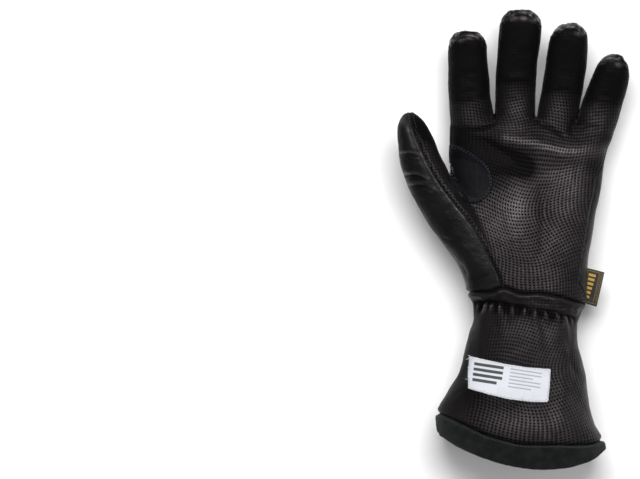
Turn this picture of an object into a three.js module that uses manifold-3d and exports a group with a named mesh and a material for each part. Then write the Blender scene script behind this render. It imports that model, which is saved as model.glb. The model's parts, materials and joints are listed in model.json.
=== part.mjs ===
// A fire-resistant gauntlet glove for the left hand, lying on its back with the palm up.
// Millimetres, +Z up. X runs across the hand (thumb on the -X side), Y runs from the cuff mouth
// to the finger tips. The hollow hand is one continuous space: fingers, palm, wrist and cuff.
import * as THREE from 'three';
import { mergeVertices } from 'three/addons/utils/BufferGeometryUtils.js';
import Module from 'manifold-3d';

const wasm = await Module();
wasm.setup();

// ---- driving dimensions -------------------------------------------------------------------
const WALL = 2.4;            // leather or knit with its lining, all layers together
const GAP = 0.3;             // clearance between neighbouring pieces
const GUARD_PAD = 7.6;       // height of the knuckle guard's padded ribs above the back
const GUARD_BASE = 3.4;      // height of the guard in the sewn channels between the ribs
const CHANNEL = 3.0;         // width of a sewn channel
const GUARD_SIDE = 1.2;      // thickness of the guard where it ends on the hand's edges
const PATCH_T = 1.2;         // reinforcement patch at the thumb web
const BADGE_T = 1.6;         // moulded badge on the wrist
const LABEL_T = 0.9;         // woven labels on the cuff
const TAG_T = 1.4;           // folded woven side tag
const FINGER_SIDES = 12;     // facets around a finger
const BODY_SIDES = 22;       // facets around the hand and cuff
const LINING_FINGER_SIDES = 8;  // and around the hollow inside a finger
const LINING_BODY_SIDES = 16;   // and inside the hand and cuff
const FINGER_ROUND = 2.25;   // superellipse exponent of a finger section
const FINGER_FRONT = 0.36;   // front seam height on a finger, as a share of its half depth
const FINGER_BACK = -0.36;   // back seam height on a finger
const TIP_SEAM = 5.6;        // front seam of a finger cap, back from the tip
const CAP_BACK = 27;         // back edge of a finger cap, back from the tip
const CENTRE = [-0.73, 0.15]; // centre of the outline, moved to X = Y = 0

// ---- section tables -----------------------------------------------------------------------
const table = (names, rows) =>
  rows.map((r) => Object.fromEntries(names.split(' ').map((n, i) => [n, r[i]])));

// One row for each section of the hand and cuff, from the finger roots to the cuff mouth.
// yl, yc, yr: the section's place along the hand at its left edge, centre and right edge;
// xl, xr: the edges; zb, zf: back and front; p: squareness; fl, fr: height of the front seam at
// the left and right edge, and bk: of the back seam, as shares of the half depth.
const BODY = table('yl yc yr xl xr zb zf p fl fr bk', [
  [87.1, 89.3, 77.5, -40.4, 60.3, 13, 37.5, 2.5, 0.3, 0.5, -0.3],
  [81.2, 82.7, 71.7, -45.6, 64.7, 9.5, 41, 2.6, 0.3, 0.5, -0.3],
  [70.9, 70.9, 63.6, -47.0, 66.9, 7.5, 43.5, 2.6, 0.3, 0.55, -0.3],
  [39.3, 39.3, 38.6, -46.3, 64.7, 7, 45.5, 2.6, 0.1, 0.6, -0.3],
  [20.9, 20.9, 20.9, -44.1, 61.0, 7, 47, 2.5, 0.0, 0.6, -0.3],
  [-15.8, -15.8, -15.8, -36.8, 55.1, 6.5, 52, 2.4, 0.0, 0.6, -0.3],
  [-30.5, -31.2, -32.7, -34.5, 54.0, 6, 53.5, 2.3, 0.0, 0.6, -0.3],
  [-40.1, -41.5, -43.7, -33.1, 53.7, 6, 54, 2.3, -0.1, 0.3, -0.3],
  [-48.1, -50.3, -54.0, -29.8, 50.0, 7, 53, 2.2, -0.3, -0.3, -0.3],
  [-57.7, -59.9, -63.6, -29.8, 46.7, 8, 52.5, 2.2, -0.35, -0.35, -0.35],
  [-68.0, -70.2, -73.9, -33.1, 47.0, 7.5, 54, 2.2, -0.35, -0.35, -0.35],
  [-81.2, -84.9, -87.8, -36.4, 50.7, 6, 57, 2.2, -0.35, -0.35, -0.35],
  [-95.9, -100.3, -103.3, -39.7, 53.7, 4, 60.5, 2.2, -0.35, -0.35, -0.35],
  [-110.6, -116.5, -118.7, -48.5, 54.8, 2, 64.5, 2.2, -0.35, -0.35, -0.35],
  [-123.8, -134.1, -133.4, -55.9, 58.1, 0.3, 68, 2.2, -0.35, -0.35, -0.35],
  [-131.2, -145.9, -143.0, -56.6, 63.2, -1.0, 70.5, 2.2, -0.35, -0.35, -0.35],
  [-137.8, -156.2, -148.1, -55.1, 65.8, -1.4, 72, 2.2, -0.35, -0.35, -0.35],
  [-144.4, -169.4, -155.5, -52.2, 66.2, -0.6, 70, 2.2, -0.35, -0.35, -0.35],
]);

// One row for each section of a finger, from inside the hand to the tip.
// x, y, z: centre; w: half width; d: half depth.
const FINGER_COLUMNS = 'x y w z d';
const FINGERS = {
  index: table(FINGER_COLUMNS, [
    [-29.4, 65.8, 15.0, 25, 11.5], [-30.1, 82.0, 16.3, 24.5, 14],
    [-31.6, 104.0, 16.0, 24.3, 14.6], [-32.9, 118, 15.5, 25.1, 14.3],
    [-34.0, 136.3, 14.5, 29, 13.4], [-34.1, 143.7, 13.8, 31.5, 12.6], [-33.7, 148.8, 11.5, 33.3, 10.6],
    [-33.1, 151.8, 8.2, 34.4, 7.6], [-32.6, 153.7, 0, 35, 0],
  ]),
  middle: table(FINGER_COLUMNS, [
    [0.0, 65.8, 14.0, 25, 11.5], [0.4, 82.0, 15.3, 24.5, 14],
    [1.2, 105.5, 15.1, 24.5, 14.6], [2.2, 122, 15.2, 26.3, 14.4],
    [4.1, 145.2, 15.4, 32.8, 13.8], [5.0, 154.7, 15.6, 36, 13.2], [5.4, 161.3, 14.4, 38.2, 11.6],
    [5.7, 166.0, 11.0, 39.8, 8.8], [5.9, 168.7, 6.6, 40.6, 5.4], [5.9, 169.7, 0, 41, 0],
  ]),
  ring: table(FINGER_COLUMNS, [
    [28.7, 64.3, 13.2, 26, 11.5], [31.6, 80.5, 15.0, 25.2, 13.8],
    [35.3, 105.5, 15.1, 25.3, 14.4], [37.7, 122, 15.1, 27.6, 14.1],
    [40.3, 143.0, 14.6, 33.6, 13.3], [40.6, 149.6, 13.6, 35.8, 12], [40.3, 154.3, 11.0, 37.4, 9.4],
    [40.0, 157.4, 7.3, 38.4, 6.4], [39.8, 159.3, 0, 39, 0],
  ]),
  little: table(FINGER_COLUMNS, [
    [50.0, 56.4, 11.5, 27, 11], [54.8, 68.7, 13.6, 26.2, 13], [59.5, 82.7, 15.1, 25.8, 13.8],
    [66.0, 102.7, 14.4, 27.2, 13.5], [69.4, 113.6, 13.7, 29.6, 12.9],
    [71.4, 120.9, 12.9, 31.8, 12.2], [72.5, 126.8, 11.7, 33.6, 10.9], [73.1, 131.6, 9.4, 35, 8.6],
    [73.4, 134.9, 6.2, 36, 5.6], [73.5, 136.8, 0, 36.6, 0],
  ]),
  thumb: table(FINGER_COLUMNS, [
    [-13.2, -44.5, 11.5, 29, 13], [-17.4, -32.7, 13.9, 30, 17], [-24.3, -18.0, 14.7, 31.5, 20],
    [-35.3, 3.3, 17.6, 33.5, 21], [-48.5, 25.4, 19.7, 36, 20], [-59.2, 43.0, 18.7, 38, 18],
    [-67.3, 58.4, 16.5, 39.6, 16], [-72.0, 71.7, 13.5, 41, 14], [-75.3, 82.0, 10.6, 42.2, 11.6],
    [-76.9, 88.3, 7.6, 43, 8.6], [-77.6, 91.8, 4.4, 43.5, 5.2], [-77.9, 93.4, 0, 43.8, 0],
  ]),
};

// The knuckle guard: x across the hand, then its rear edge, two sewn channels and front edge.
const GUARD = table('x rear low high front', [
  [-62, 28, 46, 65, 80], [-45, 25.5, 45, 65, 83], [-20, 21.5, 43, 64, 84.5], [8, 16, 37.5, 58.5, 80],
  [36, 10, 30, 50.5, 72.5], [60, 6, 23.5, 42.5, 63], [82, 6, 20, 36, 52],
]);

// Outlines seen from above, in X and Y.
const OUTLINES = {
  thumbSeam: [[-90, 110], [-77.9, 102.5], [-76.4, 93.0], [-73.9, 82.0], [-69.1, 68.7], [-62.5, 54.8],
    [-54.4, 40.8], [-43.4, 26.1], [-32.3, 12.1], [-22.8, -2.6], [-15.4, -17.3], [-10.3, -29.8],
    [-7.7, -48], [-120, -48], [-120, 110]],
  thumbBack: [[-45.2, 53], [-48.7, 60], [-50.7, 66], [-55.9, 77], [-65.4, 94], [-72, 110], [-76, 100],
    [-74, 84], [-69.5, 66], [-63, 50], [-54, 33], [-45, 17], [-38, 4], [-31, -6], [-27, 10], [-33, 28],
    [-39, 42]],
  wristSeam: [[-70, -38.6], [-35.3, -38.6], [-17.6, -38.6], [-11.8, -36.0], [-5.9, -35.6], [4.4, -39.7],
    [19.1, -39.7], [33.8, -42.3], [50.7, -46.7], [90, -49.6]],
  cuffBackEdge: [[-70, -2.6], [-38.2, -2.6], [-21.3, -4.8], [-6.6, -11.4], [8.1, -19.5], [26.5, -27.6],
    [44.8, -33.4], [63.2, -36.4], [90, -37.1]],
  hemSeam: [[-80, -117], [-56, -127.5], [-36.8, -136.2], [-22.8, -142.9], [-8.1, -147.4], [5.9, -150.3],
    [30.9, -150.3], [47.8, -149.6], [62, -144], [90, -134]],
  patch: [[-52, 69], [-42.6, 69.5], [-36.0, 66.5], [-28.7, 62.1], [-21.3, 56.2], [-16.9, 48.9],
    [-15.8, 40.8], [-19.1, 32.3], [-26.1, 27.2], [-34.2, 26.8], [-39.3, 30.1], [-43.0, 37.1],
    [-45.2, 46.7], [-50, 55]],
  palmLabel: [[-33.1, -85.3], [25.6, -94.4], [23.7, -119.4], [-34.8, -110.9]],
  backLabel: [[-30, -112], [22, -120], [24.5, -106], [18, -101.5], [-28, -94.5]],
  badge: [[-15, 16.5], [-8, -8.5], [45, -20.5], [46, 4.5]],
};
const TAG = { x: 50.5, y: -34, z: 27, length: 13.5, height: 25, turn: -0.16 };

// ---- shapes -------------------------------------------------------------------------------
function solidFrom(geometry) {
  const bare = geometry.clone();
  for (const name of ['normal', 'uv']) if (bare.getAttribute(name)) bare.deleteAttribute(name);
  const merged = mergeVertices(bare, 1e-4);
  return new wasm.Manifold(new wasm.Mesh({
    numProp: 3,
    vertProperties: new Float32Array(merged.getAttribute('position').array),
    triVerts: new Uint32Array(merged.index.array),
  }));
}

// A closed solid through rings of points; a ring of one point is a tip.
function loft(rings) {
  const pos = [];
  const idx = [];
  const first = rings.map((ring) => {
    const at = pos.length / 3;
    ring.forEach((p) => pos.push(...p));
    return at;
  });
  const put = (a, b, c) => idx.push(a, b, c);
  for (let i = 0; i + 1 < rings.length; i += 1) {
    const [a, b] = [first[i], first[i + 1]];
    const n = Math.max(rings[i].length, rings[i + 1].length);
    for (let k = 0; k < n; k += 1) {
      const m = (k + 1) % n;
      if (rings[i].length === 1) put(a, b + k, b + m);
      else if (rings[i + 1].length === 1) put(a + m, a + k, b);
      else { put(a + m, a + k, b + k); put(a + m, b + k, b + m); }
    }
  }
  const cap = (ring, at, flip) => {
    if (ring.length === 1) return;
    const c = pos.length / 3;
    pos.push(...[0, 1, 2].map((j) => ring.reduce((s, p) => s + p[j], 0) / ring.length));
    for (let k = 0; k < ring.length; k += 1) {
      const m = (k + 1) % ring.length;
      if (flip) put(c, at + m, at + k); else put(c, at + k, at + m);
    }
  };
  cap(rings[0], first[0], false);
  cap(rings.at(-1), first.at(-1), true);
  let volume = 0;
  const at = (i) => new THREE.Vector3(pos[3 * i], pos[3 * i + 1], pos[3 * i + 2]);
  for (let i = 0; i < idx.length; i += 3) volume += at(idx[i]).dot(at(idx[i + 1]).cross(at(idx[i + 2])));
  if (volume < 0) for (let i = 0; i < idx.length; i += 3) [idx[i], idx[i + 1]] = [idx[i + 1], idx[i]];
  const geometry = new THREE.BufferGeometry();
  geometry.setAttribute('position', new THREE.Float32BufferAttribute(pos, 3));
  geometry.setIndex(idx);
  return solidFrom(geometry);
}

const power = (v, p) => Math.sign(v) * Math.abs(v) ** (2 / p);
const rounds = (n) => Array.from({ length: n }, (_, k) => (2 * Math.PI * (k + 0.5)) / n);
const joinAll = (solids) => solids.reduce((a, b) => a.add(b));

// y of a body section at u, from -1 at its left edge to 1 at its right edge
const sectionY = (s, u) => s.yc + (0.5 * (s.yr - s.yl)) * u + (0.5 * (s.yl + s.yr) - s.yc) * u * u;

// grow moves the surface outward; deep moves its front and back by another amount
function bodySolid(grow, { lining = false, deep = grow } = {}) {
  const rings = BODY.map((s, i) => rounds(lining ? LINING_BODY_SIDES : BODY_SIDES).map((t) => {
    const [c, q] = [power(Math.cos(t), s.p), power(Math.sin(t), s.p)];
    const end = i === 0 ? grow : 0;
    return [(s.xl + s.xr) / 2 + ((s.xr - s.xl) / 2 + grow) * c, sectionY(s, c) + end,
      (s.zb + s.zf) / 2 + ((s.zf - s.zb) / 2 + deep) * q];
  }));
  if (lining) rings.push(rings.at(-1).map(([x, y, z]) => [x, y - 14, z]));
  return loft(rings);
}

// Direction of a finger in plan at section i, and the sections with arc length t.
function frames(rows) {
  let t = 0;
  return rows.map((s, i) => {
    const a = rows[Math.max(0, i - 1)];
    const b = rows[Math.min(rows.length - 1, i + 1)];
    const l = Math.hypot(b.x - a.x, b.y - a.y);
    if (i) t += Math.hypot(s.x - rows[i - 1].x, s.y - rows[i - 1].y);
    return { ...s, t, ux: (b.x - a.x) / l, uy: (b.y - a.y) / l };
  });
}

function fingerSolid(rows, grow, { lining = false } = {}) {
  const rings = [];
  for (const s of frames(rows)) {
    if (s.w + grow < 1.4 || s.d + grow < 1.4 || s.w === 0) continue;
    rings.push(rounds(lining ? LINING_FINGER_SIDES : FINGER_SIDES).map((t) => {
      const [c, q] = [power(Math.cos(t), FINGER_ROUND), power(Math.sin(t), FINGER_ROUND)];
      return [s.x + s.uy * (s.w + grow) * c, s.y - s.ux * (s.w + grow) * c, s.z + (s.d + grow) * q];
    }));
  }
  const tip = frames(rows).at(-1);
  if (grow >= 0) rings.push([[tip.x + tip.ux * grow, tip.y + tip.uy * grow, tip.z]]);
  return loft(rings);
}

const handSolid = (grow, how) =>
  joinAll([bodySolid(grow, how), ...Object.values(FINGERS).map((f) => fingerSolid(f, grow, how))]);

// ---- cutters ------------------------------------------------------------------------------
// A finger's section at arc length t, also before its root and past its tip.
function sectionAt(rows, t) {
  const f = frames(rows);
  let i = 0;
  while (i + 2 < f.length && f[i + 1].t < t) i += 1;
  const [a, b] = [f[i], f[i + 1]];
  const k = (t - a.t) / (b.t - a.t);
  const kk = Math.min(1, Math.max(0, k));
  const mix = (n) => a[n] + (b[n] - a[n]) * kk;
  const over = (k - kk) * (b.t - a.t);
  const [ux, uy] = [mix('ux'), mix('uy')];
  return { x: mix('x') + ux * over, y: mix('y') + uy * over, z: mix('z'), w: mix('w'), d: mix('d'), ux, uy };
}

// The space around a finger from t0 to t1 and between two heights.
function fingerZone(rows, t0, t1, low, high, side) {
  const inner = frames(rows).filter((s) => s.t > t0 + 2 && s.t < t1 - 2 && s.w > 9).map((s) => s.t);
  return loft([t0, ...inner, t1].map((t) => {
    const s = sectionAt(rows, t);
    const half = Math.max(s.w, 9) + side;
    const [dx, dy] = [s.uy * half, -s.ux * half];
    const [lo, hi] = [low(s), high(s)];
    return [[s.x - dx, s.y - dy, lo], [s.x + dx, s.y + dy, lo], [s.x + dx, s.y + dy, hi], [s.x - dx, s.y - dy, hi]];
  }));
}

const reach = (rows) => frames(rows).at(-1).t;
const seamHeight = (share, grow) => (s) => s.z + share * Math.max(s.d, 9) + grow;

// The space over (side 1) or under (side -1) the hand's seam heights.
function bodyZone(side, left, right, grow) {
  const rings = BODY.map((s, i) => {
    const [cz, b] = [(s.zb + s.zf) / 2, (s.zf - s.zb) / 2];
    const far = side > 0 ? 130 : -40;
    const dy = i === 0 ? 0.6 + grow : 0;
    const wide = 1.12 + grow / 50;
    const zl = cz + left(s) * b - side * grow;
    const zr = cz + right(s) * b - side * grow;
    const at = (u, z) => [(s.xl + s.xr) / 2 + ((s.xr - s.xl) / 2) * u, sectionY(s, Math.min(1, Math.max(-1, u))) + dy, z];
    return [at(-wide, zl), at(0, (zl + zr) / 2), at(wide, zr), at(wide, far), at(0, far), at(-wide, far)];
  });
  rings.push(rings.at(-1).map(([x, y, z]) => [x, y - 14, z]));
  return loft(rings);
}

function prism(points, low, high) {
  const shape = new THREE.Shape(points.map(([x, y]) => new THREE.Vector2(x, y)));
  const geometry = new THREE.ExtrudeGeometry(shape, { depth: high - low, bevelEnabled: false, curveSegments: 1 });
  return solidFrom(geometry.translate(0, 0, low));
}

// Closed outline moved outward by d.
function offset(points, d) {
  const area = points.reduce((s, p, i) => {
    const q = points[(i + 1) % points.length];
    return s + p[0] * q[1] - q[0] * p[1];
  }, 0);
  const turn = Math.sign(area) * d;
  return points.map((p, i) => {
    const a = points[(i + points.length - 1) % points.length];
    const b = points[(i + 1) % points.length];
    const n = (u, v) => { const l = Math.hypot(v[0] - u[0], v[1] - u[1]); return [(v[1] - u[1]) / l, -(v[0] - u[0]) / l]; };
    const [m, k] = [n(a, p), n(p, b)];
    const s = 1 + m[0] * k[0] + m[1] * k[1];
    return [p[0] + (turn * (m[0] + k[0])) / s, p[1] + (turn * (m[1] + k[1])) / s];
  });
}

// Everything on the cuff side of a line that runs across the hand.
const cuffSide = (line, grow, low = -40, high = 130) =>
  prism([...line.map(([x, y]) => [x, y + grow]), [line.at(-1)[0], -230], [line[0][0], -230]], low, high);

const fingerNames = ['index', 'middle', 'ring', 'little'];

const thumbSeam = (s) => s.z - 0.25 * s.d;

// Front leather: over the front seam of the hand, the four fingers and the thumb.
const frontZone = (grow) => joinAll([
  bodyZone(1, (s) => s.fl, (s) => s.fr, grow),
  ...fingerNames.map((n) => fingerZone(FINGERS[n], -6 - grow, reach(FINGERS[n]) + 12, seamHeight(FINGER_FRONT, -grow), () => 130, 2.2 + grow)),
  fingerZone(FINGERS.thumb, -grow, reach(FINGERS.thumb) + 12, (s) => thumbSeam(s) - grow, () => 130, 2.2 + grow),
]);
const backZone = (grow) => joinAll([
  bodyZone(-1, (s) => s.bk, (s) => s.bk, grow),
  ...fingerNames.map((n) => fingerZone(FINGERS[n], -6 - grow, reach(FINGERS[n]) + 12, () => -40, seamHeight(FINGER_BACK, grow), 2.2 + grow)),
]);
const capZone = (name, grow) => {
  const rows = FINGERS[name];
  const end = reach(rows);
  return fingerZone(rows, end - TIP_SEAM - grow, end + 14, () => -40, () => 130, 4 + grow)
    .add(fingerZone(rows, end - CAP_BACK - grow, end + 14, () => -40, seamHeight(FINGER_BACK, grow), 4 + grow));
};

// ---- cutting the shell into its panels ------------------------------------------------------
const outer = handSolid(0);
let rest = outer.subtract(handSolid(-WALL, { lining: true }));
const solids = {};

function largest(solid) {
  return solid.decompose().sort((a, b) => b.volume() - a.volume())[0];
}

function take(name, zone) {
  solids[name] = largest(rest.intersect(zone(0)));
  rest = rest.subtract(zone(GAP));
}

take('hem_band', (g) => cuffSide(OUTLINES.hemSeam, g));
const cuffFrontZone = (g) => cuffSide(OUTLINES.wristSeam, g).intersect(bodyZone(1, (s) => Math.min(s.fl, -0.1), (s) => Math.min(s.fr, -0.1), g));
take('cuff_front', cuffFrontZone);
for (const name of fingerNames) take(`${name}_tip_cap`, (g) => capZone(name, g));
take('thumb_back', (g) => prism(offset(OUTLINES.thumbBack, g), -40, 60)
  .intersect(fingerZone(FINGERS.thumb, -g, reach(FINGERS.thumb) + 12, () => -40, (s) => thumbSeam(s) + g, 8)));
take('thumb_outer', (g) => prism(offset(OUTLINES.thumbSeam, g), -40, 130)
  .subtract(cuffSide([[-70, -16], [-38.2, -16], [-25, -20], [-2, -27]], -g, -40, 20 - g)));
take('cuff_back', (g) => cuffSide(OUTLINES.cuffBackEdge, g, -40, 26 + g));
take('palm_panel', frontZone);
const behindGuard = GUARD.map((g) => [g.x, g.rear + 5]);
take('wrist_panel', (g) => backZone(g).intersect(cuffSide(behindGuard, g)));
take('back_panel', backZone);

// What is left are the side walls between the finger seams.
const sides = rest.decompose().filter((s) => s.volume() > 120);
const middleX = (s) => { const b = s.boundingBox(); return (b.min[0] + b.max[0]) / 2; };
sides.sort((a, b) => middleX(a) - middleX(b));
const sideNames = ['index_side', 'fourchette_index_middle', 'fourchette_middle_ring', 'fourchette_ring_little', 'little_side'];
sides.forEach((s, i) => { solids[sideNames[i] ?? `side_${i}`] = s; });

// ---- pieces sewn on the outside --------------------------------------------------------------
const skin = (from, to, outline, low, high) =>
  handSolid(to).subtract(handSolid(from)).intersect(prism(outline, low, high));
solids.thumb_web_patch = largest(skin(GAP, GAP + PATCH_T, OUTLINES.patch, 26, 130));
solids.palm_label = largest(bodySolid(GAP + LABEL_T).subtract(bodySolid(GAP)).intersect(prism(OUTLINES.palmLabel, 30, 130)));
solids.back_label = largest(bodySolid(GAP + LABEL_T).subtract(bodySolid(GAP)).intersect(prism(OUTLINES.backLabel, -40, 25)));
solids.wrist_badge = largest(bodySolid(GAP + BADGE_T).subtract(bodySolid(GAP)).intersect(prism(OUTLINES.badge, -40, 25)));

const column = (low, high, dl, dh) => [
  ...GUARD.map((g) => [g.x, g[low] + dl]), ...GUARD.slice().reverse().map((g) => [g.x, g[high] + dh])];
const padded = (height, outline) => bodySolid(GUARD_SIDE, { deep: height }).intersect(prism(outline, -40, 19));
solids.knuckle_guard = largest(joinAll([
  padded(GUARD_BASE, column('rear', 'front', 0, 0)),
  padded(GUARD_PAD, column('rear', 'low', 0.8, -CHANNEL / 2)),
  padded(GUARD_PAD, column('low', 'high', CHANNEL / 2, -CHANNEL / 2)),
  padded(GUARD_PAD, column('high', 'front', CHANNEL / 2, -0.8)),
]).subtract(handSolid(GAP)));

// The folded tag hangs out of the seam on the little-finger side of the wrist.
const tag = new THREE.BoxGeometry(TAG.length, TAG.height, TAG_T, 3, 4, 1);
const tagPos = tag.getAttribute('position');
for (let i = 0; i < tagPos.count; i += 1) {
  const u = tagPos.getX(i) / TAG.length + 0.5;
  tagPos.setZ(i, tagPos.getZ(i) + 2.2 * u * u);
}
tag.rotateZ(TAG.turn).translate(TAG.x + TAG.length / 2, TAG.y, TAG.z);
solids.side_tag = largest(solidFrom(tag).subtract(handSolid(GAP)));

// ---- colours ---------------------------------------------------------------------------------
const LEATHER = { color: 0x1b191a, roughness: 0.5, metalness: 0 };
const KNIT = { color: 0x1d2325, roughness: 0.95, metalness: 0 };
const LOOKS = {
  cuff_back: KNIT, back_panel: KNIT, knuckle_guard: KNIT, hem_band: KNIT,
  thumb_web_patch: { color: 0x16171d, roughness: 0.7, metalness: 0 },
  palm_label: { color: 0xdfe2e6, roughness: 0.8, metalness: 0 },
  back_label: { color: 0xdfe2e6, roughness: 0.8, metalness: 0 },
  wrist_badge: { color: 0xe6be2c, roughness: 0.5, metalness: 0 },
  side_tag: { color: 0x2a2412, roughness: 0.9, metalness: 0 },
};

const floor = prism([[-300, -300], [300, -300], [300, 300], [-300, 300]], 0, 200);
const group = new THREE.Group();
for (const [name, solid] of Object.entries(solids)) {
  const box = solid.boundingBox();
  const kept = box.min[2] < 0 ? largest(solid.intersect(floor)) : solid;
  const { vertProperties, triVerts } = kept.getMesh();
  const geometry = new THREE.BufferGeometry();
  geometry.setAttribute('position', new THREE.Float32BufferAttribute(vertProperties, 3));
  geometry.setIndex(new THREE.Uint32BufferAttribute(triVerts, 1));
  const mesh = new THREE.Mesh(geometry, new THREE.MeshStandardMaterial(LOOKS[name] ?? LEATHER));
  mesh.name = name;
  mesh.position.set(-CENTRE[0], -CENTRE[1], 0);
  group.add(mesh);
}

export default group;
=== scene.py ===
import json
import math
import bpy
import numpy as np
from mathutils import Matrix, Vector
from mathutils.kdtree import KDTree
from mathutils.bvhtree import BVHTree


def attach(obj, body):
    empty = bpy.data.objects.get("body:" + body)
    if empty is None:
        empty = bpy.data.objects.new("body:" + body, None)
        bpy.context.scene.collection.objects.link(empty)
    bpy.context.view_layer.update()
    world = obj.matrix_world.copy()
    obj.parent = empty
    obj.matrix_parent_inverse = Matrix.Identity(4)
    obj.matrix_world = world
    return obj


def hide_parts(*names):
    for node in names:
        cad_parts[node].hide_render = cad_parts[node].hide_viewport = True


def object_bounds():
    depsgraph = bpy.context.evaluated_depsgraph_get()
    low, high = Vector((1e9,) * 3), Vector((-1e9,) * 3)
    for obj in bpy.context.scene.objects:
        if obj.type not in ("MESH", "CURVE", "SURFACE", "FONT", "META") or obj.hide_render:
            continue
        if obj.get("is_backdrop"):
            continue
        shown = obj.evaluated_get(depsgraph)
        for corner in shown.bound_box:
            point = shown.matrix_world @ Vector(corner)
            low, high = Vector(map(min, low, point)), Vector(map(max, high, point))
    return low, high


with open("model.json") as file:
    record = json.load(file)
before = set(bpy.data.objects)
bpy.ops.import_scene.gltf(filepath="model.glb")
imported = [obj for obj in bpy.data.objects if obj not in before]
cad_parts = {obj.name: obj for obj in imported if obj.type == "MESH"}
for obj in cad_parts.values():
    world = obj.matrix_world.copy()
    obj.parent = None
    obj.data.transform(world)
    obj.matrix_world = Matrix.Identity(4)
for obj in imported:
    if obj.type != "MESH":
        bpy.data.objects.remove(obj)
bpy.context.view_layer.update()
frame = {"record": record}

# A left-hand gauntlet glove lying on its back, palm up. Lengths here are millimetres in the
# CAD's frame; a mesh is scaled to metres when it is made.
MM = 0.001
CENTRE = (-0.73, 0.15)      # the tables' X and Y at the frame's origin, as in the CAD
GRID = 0.9                  # spacing of the grid that the skin is drawn from
PITCH = 2.4                 # perforation spacing

# ------------------------------------------------------------------ camera, first of all
FRAME_W, FRAME_H = 640, 479
SCALE = 0.735               # millimetres a pixel of the picture
DIST = 4000.0


def to_xy(px, py):
    """A point of the glove plane seen at a picture pixel, in the CAD's frame."""
    return (px - 514.0) * SCALE - CENTRE[0], (239.5 - py) * SCALE - CENTRE[1]


cam_data = bpy.data.cameras.new("camera")
cam = bpy.data.objects.new("camera", cam_data)
bpy.context.scene.collection.objects.link(cam)
bpy.context.scene.camera = cam
cam_data.sensor_fit = "HORIZONTAL"
cam_data.sensor_width = 36.0
cam_data.lens = 36.0 * DIST / (FRAME_W * SCALE)
cam_data.clip_start, cam_data.clip_end = 0.1, 20.0
TILT = math.radians(1.5)
aim = Vector((*to_xy(320.0, 239.5), 38.0)) * MM
cam.rotation_euler = (TILT, 0.0, 0.0)
cam.location = aim + Vector((0.0, -math.sin(TILT), math.cos(TILT))) * DIST * MM

# ------------------------------------------------------------------ tables of sections
# One row for each section of the hand and cuff: place along the hand at its left edge, centre
# and right edge, left and right edge, back, front and squareness.
BODY_COLUMNS = "yl yc yr xl xr zb zf p".split()
BODY = np.array([
    [87.1, 89.3, 77.5, -40.4, 60.3, 13, 37.5, 2.5],
    [81.2, 82.7, 71.7, -45.6, 64.7, 9.5, 41, 2.6],
    [70.9, 70.9, 63.6, -47.0, 66.9, 7.5, 43.5, 2.6],
    [56.2, 56.2, 53.3, -47.0, 66.2, 7, 45, 2.6],
    [39.3, 39.3, 38.6, -46.3, 64.7, 7, 45.5, 2.6],
    [20.9, 20.9, 20.9, -44.1, 61.0, 7, 47, 2.5],
    [2.6, 2.6, 2.6, -40.4, 58.1, 7, 49.5, 2.5],
    [-15.8, -15.8, -15.8, -36.8, 55.1, 6.5, 52, 2.4],
    [-30.5, -31.2, -32.7, -34.5, 54.0, 6, 53.5, 2.3],
    [-40.1, -41.5, -43.7, -33.1, 53.7, 6, 54, 2.3],
    [-48.1, -50.3, -54.0, -29.8, 50.0, 7, 53, 2.2],
    [-57.7, -59.9, -63.6, -29.8, 46.7, 8, 52.5, 2.2],
    [-68.0, -70.2, -73.9, -33.1, 47.0, 7.5, 54, 2.2],
    [-81.2, -84.9, -87.8, -36.4, 50.7, 6, 57, 2.2],
    [-95.9, -100.3, -103.3, -39.7, 53.7, 4, 60.5, 2.2],
    [-110.6, -116.5, -118.7, -48.5, 54.8, 2, 64.5, 2.2],
    [-123.8, -134.1, -133.4, -55.9, 58.1, 0.3, 68, 2.2],
    [-131.2, -145.9, -143.0, -56.6, 63.2, -1.0, 70.5, 2.2],
    [-137.8, -155.9, -150.5, -55.1, 65.8, -1.4, 72, 2.2],
    [-141.5, -163.4, -156.0, -53.7, 66.5, -1.2, 71.5, 2.2],
    [-144.4, -168.4, -160.0, -52.2, 66.2, -0.6, 70, 2.2],
])
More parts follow.
